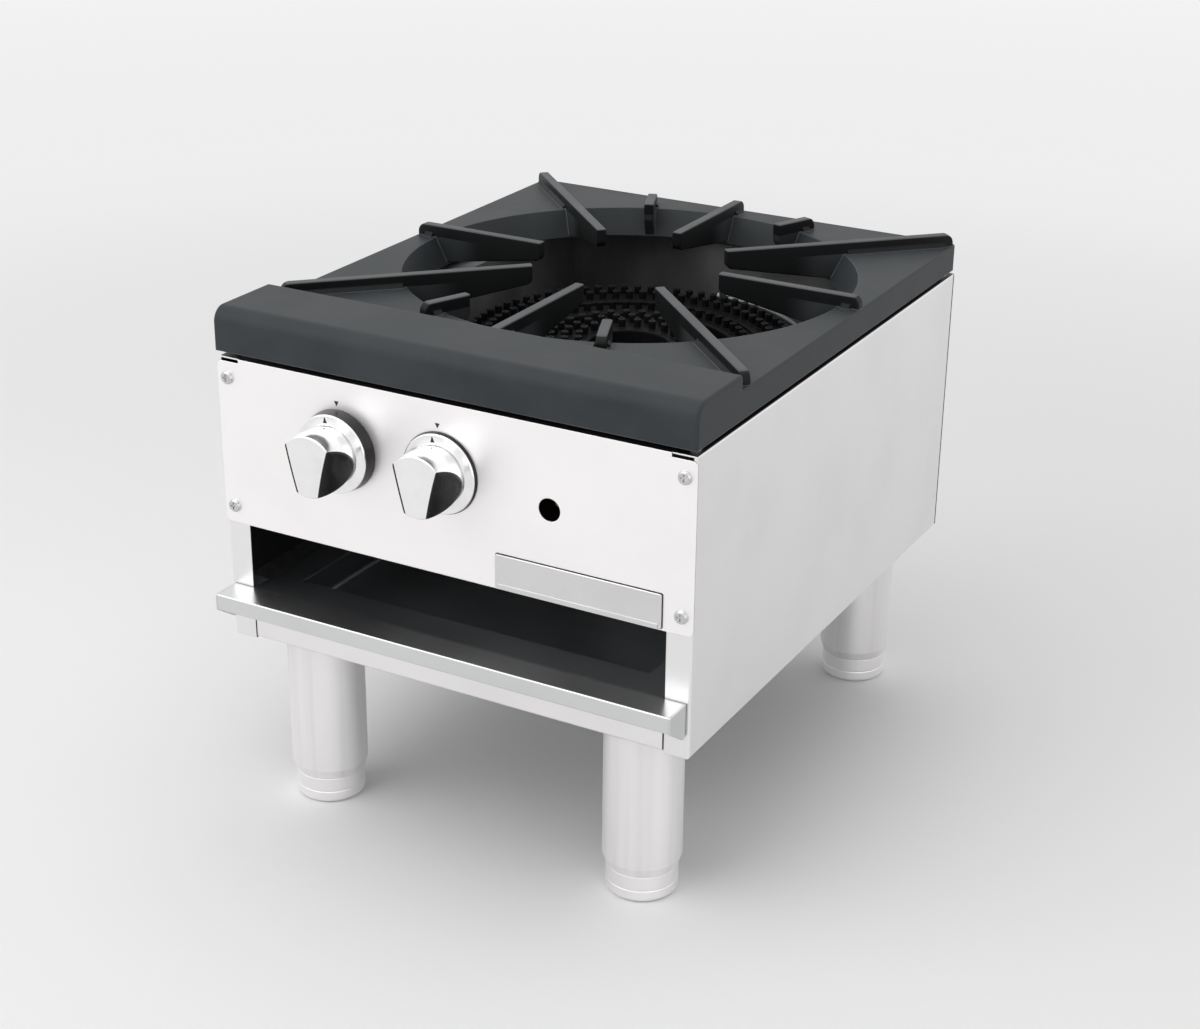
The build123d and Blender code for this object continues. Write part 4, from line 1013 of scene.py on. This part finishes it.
@dataclass
class Knob:
    """A control knob: crowned bright handle, two black grips and a dished skirt with a mark.

    Its own frame has x across, y up and z out of the panel, and starts at the skirt's face.
    The lean and the turn are in degrees.
    """

    body: Body
    axis_x: float
    skirt_face: float
    axis_z: float = 364.0 * MM
    length: float = 33.0 * MM
    back: float = 0.01 * MM
    neck_radius: float = 24.2 * MM
    neck_length: float = 1.3 * MM
    root_radius: float = 25.6 * MM
    root_corner: float = 0.4 * MM
    face_radius: float = 27.0 * MM
    face_rings: int = 7
    side_shares: tuple[float, ...] = (0.0, 0.12, 0.25, 0.4, 0.55, 0.7, 0.85)
    bulge: float = 1.5 * MM
    crown: float = 1.0 * MM
    ease: float = 1.3 * MM
    grip_root: float = 28.2 * MM
    grip_face: float = 17.0 * MM
    grip_lean: float = 14.0
    grip_depth: float = 1.5 * MM
    grip_ease: float = 0.3 * MM
    grip_flats: int = 2
    skirt_front: float = 34.7 * MM
    skirt_back: float = 35.8 * MM
    skirt_dish: float = 0.9 * MM
    skirt_edge: float = 1.3 * MM
    skirt_wall: float = 2.0 * MM
    skirt_gap: float = 0.6 * MM
    skirt_web: float = 0.6 * MM
    hub_inset: float = 5.0 * MM
    hub_web: float = 0.2 * MM
    step_start: float = 1.0 * MM
    step_end: float = 1.6 * MM
    step_fall: float = 0.4 * MM
    mark_height: float = 5.0 * MM
    mark_width: float = 4.2 * MM
    mark_ink: float = 0.2 * MM
    mark_turn: float = 8.0

    def place(self) -> Matrix:
        """The transform from the knob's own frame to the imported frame."""
        origin = (self.axis_x, PANEL_FACE - self.skirt_face, self.axis_z)
        return Matrix.Translation(origin) @ OUT_OF_PANEL

    def grip_plane(self, side: Side, depth: float) -> tuple[Vector, Vector]:
        """One grip's plane in the knob's frame.

        Args:
            side: the grip's side of the handle.
            depth: how far inside the grip's outer face the plane lies.

        Returns:
            A point on the plane and its outward normal.
        """
        slope = (self.grip_root - self.grip_face) / self.length
        lean = tan(radians(self.grip_lean))
        outward = Vector((side.value, -lean, slope)).normalized()
        point = Vector((side.value * self.grip_root, 0, 0)) - outward * depth
        return point, outward

    def blank(self) -> bmesh.types.BMesh:
        """The round handle before its grips are cut: a neck, a full side and a crowned face.

        Returns:
            The blank's mesh, in the knob's frame.
        """
        outline = [
            (0.0, self.back), (self.neck_radius, self.back), (self.neck_radius, self.neck_length),
            (self.root_radius - self.root_corner, self.neck_length),
        ]
        start = self.neck_length + self.root_corner
        reach = self.length - self.crown - self.ease - start
        for share in self.side_shares:
            swell = 4 * self.bulge * share * (1 - share)
            radius = self.root_radius + (self.face_radius - self.root_radius) * share + swell
            outline.append((radius, start + reach * share))
        outline += quarter(self.face_radius, self.length - self.crown, self.ease)
        flat, rings = self.face_radius - self.ease, self.face_rings
        for ring in range(rings - 1, -1, -1):
            outline.append((flat * ring / rings, self.length - self.crown * (ring / rings) ** 2))
        return lathe(outline, closed=False)

    def build_handle(self) -> None:
        """The bright handle, the blank less a recess for each grip."""
        mesh = self.blank()
        for side in Side:
            cut(mesh, *self.grip_plane(side, self.grip_depth))
        mesh.transform(self.place())
        bmesh.ops.recalc_face_normals(mesh, faces=mesh.faces[:])
        piece = finished(
            mesh, f"{self.body.value}_handle_crowned", self.body, [BRIGHT]
        )
        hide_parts(f"{self.body.value}_handle")

    def build_grips(self) -> None:
        """The two black grips, slabs cut from the blank and eased at their edges."""
        both = bmesh.new()
        for side in Side:
            mesh = self.blank()
            outer_point, outward = self.grip_plane(side, 0.0)
            inner_point, _ = self.grip_plane(side, self.grip_depth)
            cut(mesh, outer_point, outward)
            cut(mesh, inner_point, -outward)
            sharp = [edge for edge in mesh.edges if edge.calc_face_angle(0.0) > SHARP_FROM]
            ease_edges(mesh, sharp, self.grip_ease, self.grip_flats)
            scratch = bpy.data.meshes.new("grip_scratch")
            mesh.to_mesh(scratch)
            mesh.free()
            both.from_mesh(scratch)
            bpy.data.meshes.remove(scratch)
        both.transform(self.place())
        bmesh.ops.recalc_face_normals(both, faces=both.faces[:])
        piece = finished(both, f"{self.body.value}_grips_eased", self.body, [GRIP])
        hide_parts(f"{self.body.value}_grips")

    def build_skirt(self) -> None:
        """The skirt: a face that falls slightly to a rounded edge, and a dark rim behind it."""
        rear = self.skirt_gap - self.skirt_face
        hub = self.root_radius - self.hub_inset
        corner = quarter(self.skirt_front, -self.skirt_dish, self.skirt_edge)
        rim_from = corner[0][1]
        outline = [
            (hub, 0.0), (self.root_radius + self.step_start, 0.0),
            (self.root_radius + self.step_end, -self.step_fall),
        ]
        outline += corner[::-1]
        outline += [
            (self.skirt_back, rear), (self.skirt_back - self.skirt_wall, rear),
            (self.skirt_front - self.skirt_wall, rim_from - self.skirt_web),
            (hub, rim_from - self.hub_web),
        ]
        mesh = lathe(outline, closed=True)
        for face in mesh.faces:
            face.material_index = 1 if face.calc_center_median().z < rim_from - MICRON else 0
        mesh.transform(self.place())
        bmesh.ops.recalc_face_normals(mesh, faces=mesh.faces[:])
        piece = finished(
            mesh, f"{self.body.value}_skirt_dished", self.body, [BRIGHT, RIM]
        )
        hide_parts(f"{self.body.value}_skirt")

    def build_mark(self) -> None:
        """The pointer printed on the skirt above the handle."""
        start, end = self.root_radius + self.step_end, self.skirt_front - self.skirt_edge
        middle = (start + end) / 2
        fall = (self.skirt_dish - self.step_fall) / (end - start)
        lift = -self.step_fall - (middle - start) * fall
        mesh = pointer(self.mark_width, self.mark_height, self.mark_ink, Way.UP)
        mesh.transform(Matrix.Translation((0, middle, lift)))
        mesh.transform(Matrix.Rotation(radians(self.mark_turn), 4, "Z"))
        mesh.transform(self.place())
        finished(mesh, f"{self.body.value}_pointer", self.body, [INK])

    def build(self) -> None:
        """Builds the knob's pieces in order."""
        self.build_handle()
        self.build_grips()
        self.build_skirt()
        self.build_mark()


@dataclass
class PanelMarks:
    """Printed pointers on the control panel, one over each knob."""

    places: tuple[float, ...] = (-105.5 * MM, -6.3 * MM)
    height_z: float = 404.6 * MM
    width: float = 4.6 * MM
    height: float = 4.6 * MM
    ink: float = 0.1 * MM

    def build(self) -> None:
        """Builds one pointer over each knob."""
        for number, x in enumerate(self.places, start=1):
            mesh = pointer(self.width, self.height, self.ink, Way.DOWN)
            mesh.transform(Matrix.Translation((x, PANEL_FACE, self.height_z)) @ OUT_OF_PANEL)
            finished(mesh, f"panel_pointer_{number}", Body.CHASSIS, [INK])


@dataclass
class PlateShadowPad:
    """A thin black slab behind the name plate; its rim is a painted shadow round the plate."""

    margin: float = 0.5 * MM
    thickness: float = 0.5 * MM
    corner: float = 1.8 * MM
    corner_flats: int = 5

    def build(self) -> None:
        """Builds the painted shadow slab behind the plate."""
        low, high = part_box("nameplate")
        mesh = bmesh.new()
        bmesh.ops.create_cube(mesh, size=1.0)
        width, height = high.x - low.x + 2 * self.margin, high.z - low.z + 2 * self.margin
        bmesh.ops.scale(mesh, vec=(width, self.thickness, height), verts=mesh.verts[:])
        spans = {edge: edge.verts[0].co - edge.verts[1].co for edge in mesh.edges}
        posts = [edge for edge, span in spans.items() if abs(span.y) > MICRON]
        ease_edges(mesh, posts, self.corner, self.corner_flats)
        middle = ((low.x + high.x) / 2, PANEL_FACE - self.thickness / 2, (low.z + high.z) / 2)
        mesh.transform(Matrix.Translation(middle))
        finished(mesh, "name_plate_shadow_pad", Body.CHASSIS, [SHADOW_PAD])


@dataclass
class InletPipe:
    """The gas inlet pipe with the thread that its coupling takes, as rings."""

    radius: float = 13.35 * MM
    bore: float = 10.45 * MM
    crest: float = 13.1 * MM
    root: float = 12.0 * MM
    pitch: float = 1.81 * MM
    thread_length: float = 20.0 * MM
    shoulder: float = 0.6 * MM
    chamfer: float = 0.3 * MM
    turns: int = 64

    def build(self) -> None:
        """Builds the pipe about its own axis and lays it towards the rear."""
        low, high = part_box("gas_inlet_pipe")
        thread = high.y - self.thread_length
        outline = [(self.bore, low.y), (self.radius, low.y), (self.radius, thread - self.shoulder)]
        # Each ring of the thread, as a radius and a share of the pitch.
        ring = ((self.root, 0.1), (self.crest, 0.45), (self.crest, 0.6), (self.root, 0.95))
        for number in range(int(self.thread_length / self.pitch)):
            start = thread + number * self.pitch
            outline += [(radius, start + share * self.pitch) for radius, share in ring]
        outline += [(self.root - self.chamfer, high.y), (self.bore, high.y)]
        mesh = lathe(outline, closed=True, turns=self.turns)
        middle = ((low.x + high.x) / 2, 0, (low.z + high.z) / 2)
        mesh.transform(Matrix.Translation(middle) @ TOWARDS_REAR)
        bmesh.ops.recalc_face_normals(mesh, faces=mesh.faces[:])
        piece = finished(mesh, "gas_inlet_threaded", Body.CHASSIS, [PIPE])
        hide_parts("gas_inlet_pipe")


@dataclass
class CarriedOver:
    """The CAD nodes that keep their shape and get a finish."""

    finishes: dict[Finish, tuple[str, ...]]

    def dress(self, nodes: dict[str, bpy.types.Object]) -> None:
        """Gives every node its material.

        Args:
            nodes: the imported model's nodes by name.
        """
        for finish, names in self.finishes.items():
            for name in names:
                data = nodes[name].data
                if not data.materials:
                    data.materials.append(finish.material())
                for index in range(len(data.materials)):
                    data.materials[index] = finish.material()
                log.info("%s is finished in %s", name, finish.name)
        bare = set(nodes) - {name for names in self.finishes.values() for name in names}
        if bare:
            raise ValueError(f"nodes without a finish: {sorted(bare)}")


# ------------------------------------------------------------------------------------ studio
@dataclass(frozen=True)
class Lamp:
    """A soft area lamp."""

    name: str
    place: Triple
    aim: Triple
    size: float
    power: float

    def hang(self) -> None:
        """Adds the lamp to the scene."""
        data = bpy.data.lights.new(self.name, "AREA")
        data.shape, data.size, data.energy = "SQUARE", self.size, self.power
        lamp = placed(self.name, data)
        lamp.location = self.place
        way = Vector(self.aim) - Vector(self.place)
        lamp.rotation_euler = way.to_track_quat("-Z", "Y").to_euler()


@dataclass
class Studio:
    """Pale floor, white surroundings, soft lamps and the camera, whose angles are in degrees."""

    floor_half: float = 14.0
    floor_drop: float = 0.5 * MM
    floor_colour: Colour = (0.86, 0.86, 0.86)
    floor_worn: float = 0.99
    floor_roughness: float = 0.8
    floor_gloss: float = 0.2
    sky: float = 0.55
    plain_from: float = 0.7
    plain_to: float = 2.4
    white_to: float = 8.0
    lamps: tuple[Lamp, ...] = (
        Lamp("key", place=(-1.3, -1.9, 2.3), aim=(0.0, -0.1, 0.25), size=3.0, power=39.0),
        Lamp("overhead", place=(0.1, 0.3, 2.6), aim=(0.0, 0.1, 0.3), size=3.0, power=18.0),
        Lamp("low fill", place=(2.0, -1.9, 0.6), aim=(0.1, -0.1, 0.1), size=2.0, power=10.0),
    )
    lens: float = 65.11
    sensor: float = 36.0
    camera_place: Triple = (0.8976, -1.6269, 1.0388)
    camera_yaw: float = 28.93
    camera_pitch: float = 23.55
    camera_roll: float = 0.60

    def paint_floor(self) -> bpy.types.Material:
        """The floor's paint, which keeps the shadow and turns plain and then white further out.

        Returns:
            The material.
        """
        shader = Shader("floor_paint")
        soft = shader.noise(scale=1.5, detail=2.0).between(0.3, 0.7)
        worn = scaled(self.floor_colour, self.floor_worn)
        shader.set(
            Base_Color=shader.blend(soft, self.floor_colour, worn),
            Roughness=self.floor_roughness,
            Specular_IOR_Level=self.floor_gloss,
        )
        reach = shader.node("ShaderNodeVectorMath", {"operation": "LENGTH"}, {0: shader.place()})
        reach = Field(shader, reach.outputs["Value"])
        far = reach.between(self.plain_from, self.plain_to)
        whiter = reach.between(self.plain_to, self.white_to)
        tone = shader.blend(whiter, self.floor_colour, WHITE)
        plain = shader.node("ShaderNodeEmission", None, {"Color": tone, "Strength": 1.0})
        surface = shader.node(
            "ShaderNodeMixShader",
            None,
            {
                0: far * shader.shows_background(),
                1: shader.surface.outputs["BSDF"],
                2: plain.outputs["Emission"],
            },
        )
        shader.feed(shader.output.inputs["Surface"], surface.outputs["Shader"])
        return shader.material

    def lay_floor(self) -> None:
        """Lays the floor a little below the feet."""
        mesh = bmesh.new()
        bmesh.ops.create_grid(mesh, x_segments=1, y_segments=1, size=self.floor_half)
        bmesh.ops.translate(mesh, verts=mesh.verts[:], vec=(0, 0, -self.floor_drop))
        data = bpy.data.meshes.new("floor")
        mesh.to_mesh(data)
        mesh.free()
        data.materials.append(self.paint_floor())
        floor = placed("floor", data)

    def light(self) -> None:
        """Sets the world and hangs the lamps."""
        world = bpy.data.worlds.new("surroundings")
        bpy.context.scene.world = world
        world.use_nodes = True
        nodes = Nodes(world.node_tree)
        level = nodes.node(
            "ShaderNodeMapRange",
            None,
            {"Value": nodes.shows_background(), "To Min": self.sky, "To Max": 1.0},
        )
        surround = nodes.node(
            "ShaderNodeBackground", None, {"Color": WHITE, "Strength": level.outputs["Result"]}
        )
        nodes.node("ShaderNodeOutputWorld", None, {"Surface": surround.outputs["Background"]})
        for lamp in self.lamps:
            lamp.hang()

    def set_camera(self) -> None:
        """Puts the camera where the photograph was taken from."""
        data = bpy.data.cameras.new("camera")
        data.sensor_width, data.lens = self.sensor, self.lens
        camera = placed("camera", data)
        camera.location = self.camera_place
        tilt, yaw = radians(90 - self.camera_pitch), radians(self.camera_yaw)
        turn = Euler((tilt, 0.0, yaw), "XYZ").to_matrix()
        roll = Matrix.Rotation(radians(self.camera_roll), 3, "Z")
        camera.rotation_euler = (turn @ roll).to_euler()
        bpy.context.scene.camera = camera

    def build(self) -> None:
        """Builds the whole studio."""
        self.set_camera()
        self.lay_floor()
        self.light()
        bpy.context.scene.view_settings.view_transform = "Standard"


def main() -> None:
    """Loads the frame and builds every piece in order."""
    logging.basicConfig(level=logging.INFO, format="%(name)s: %(message)s")
    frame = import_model()
    Studio().build()
    CarriedOver(NODE_FINISHES).dress(frame["nodes"])
    Knob(Body.OUTER_KNOB, axis_x=-104.0 * MM, skirt_face=14.0 * MM).build()
    Knob(Body.INNER_KNOB, axis_x=-4.3 * MM, skirt_face=5.2 * MM).build()
    PanelMarks().build()
    PlateShadowPad().build()
    InletPipe().build()


if __name__ == "__main__":
    main()
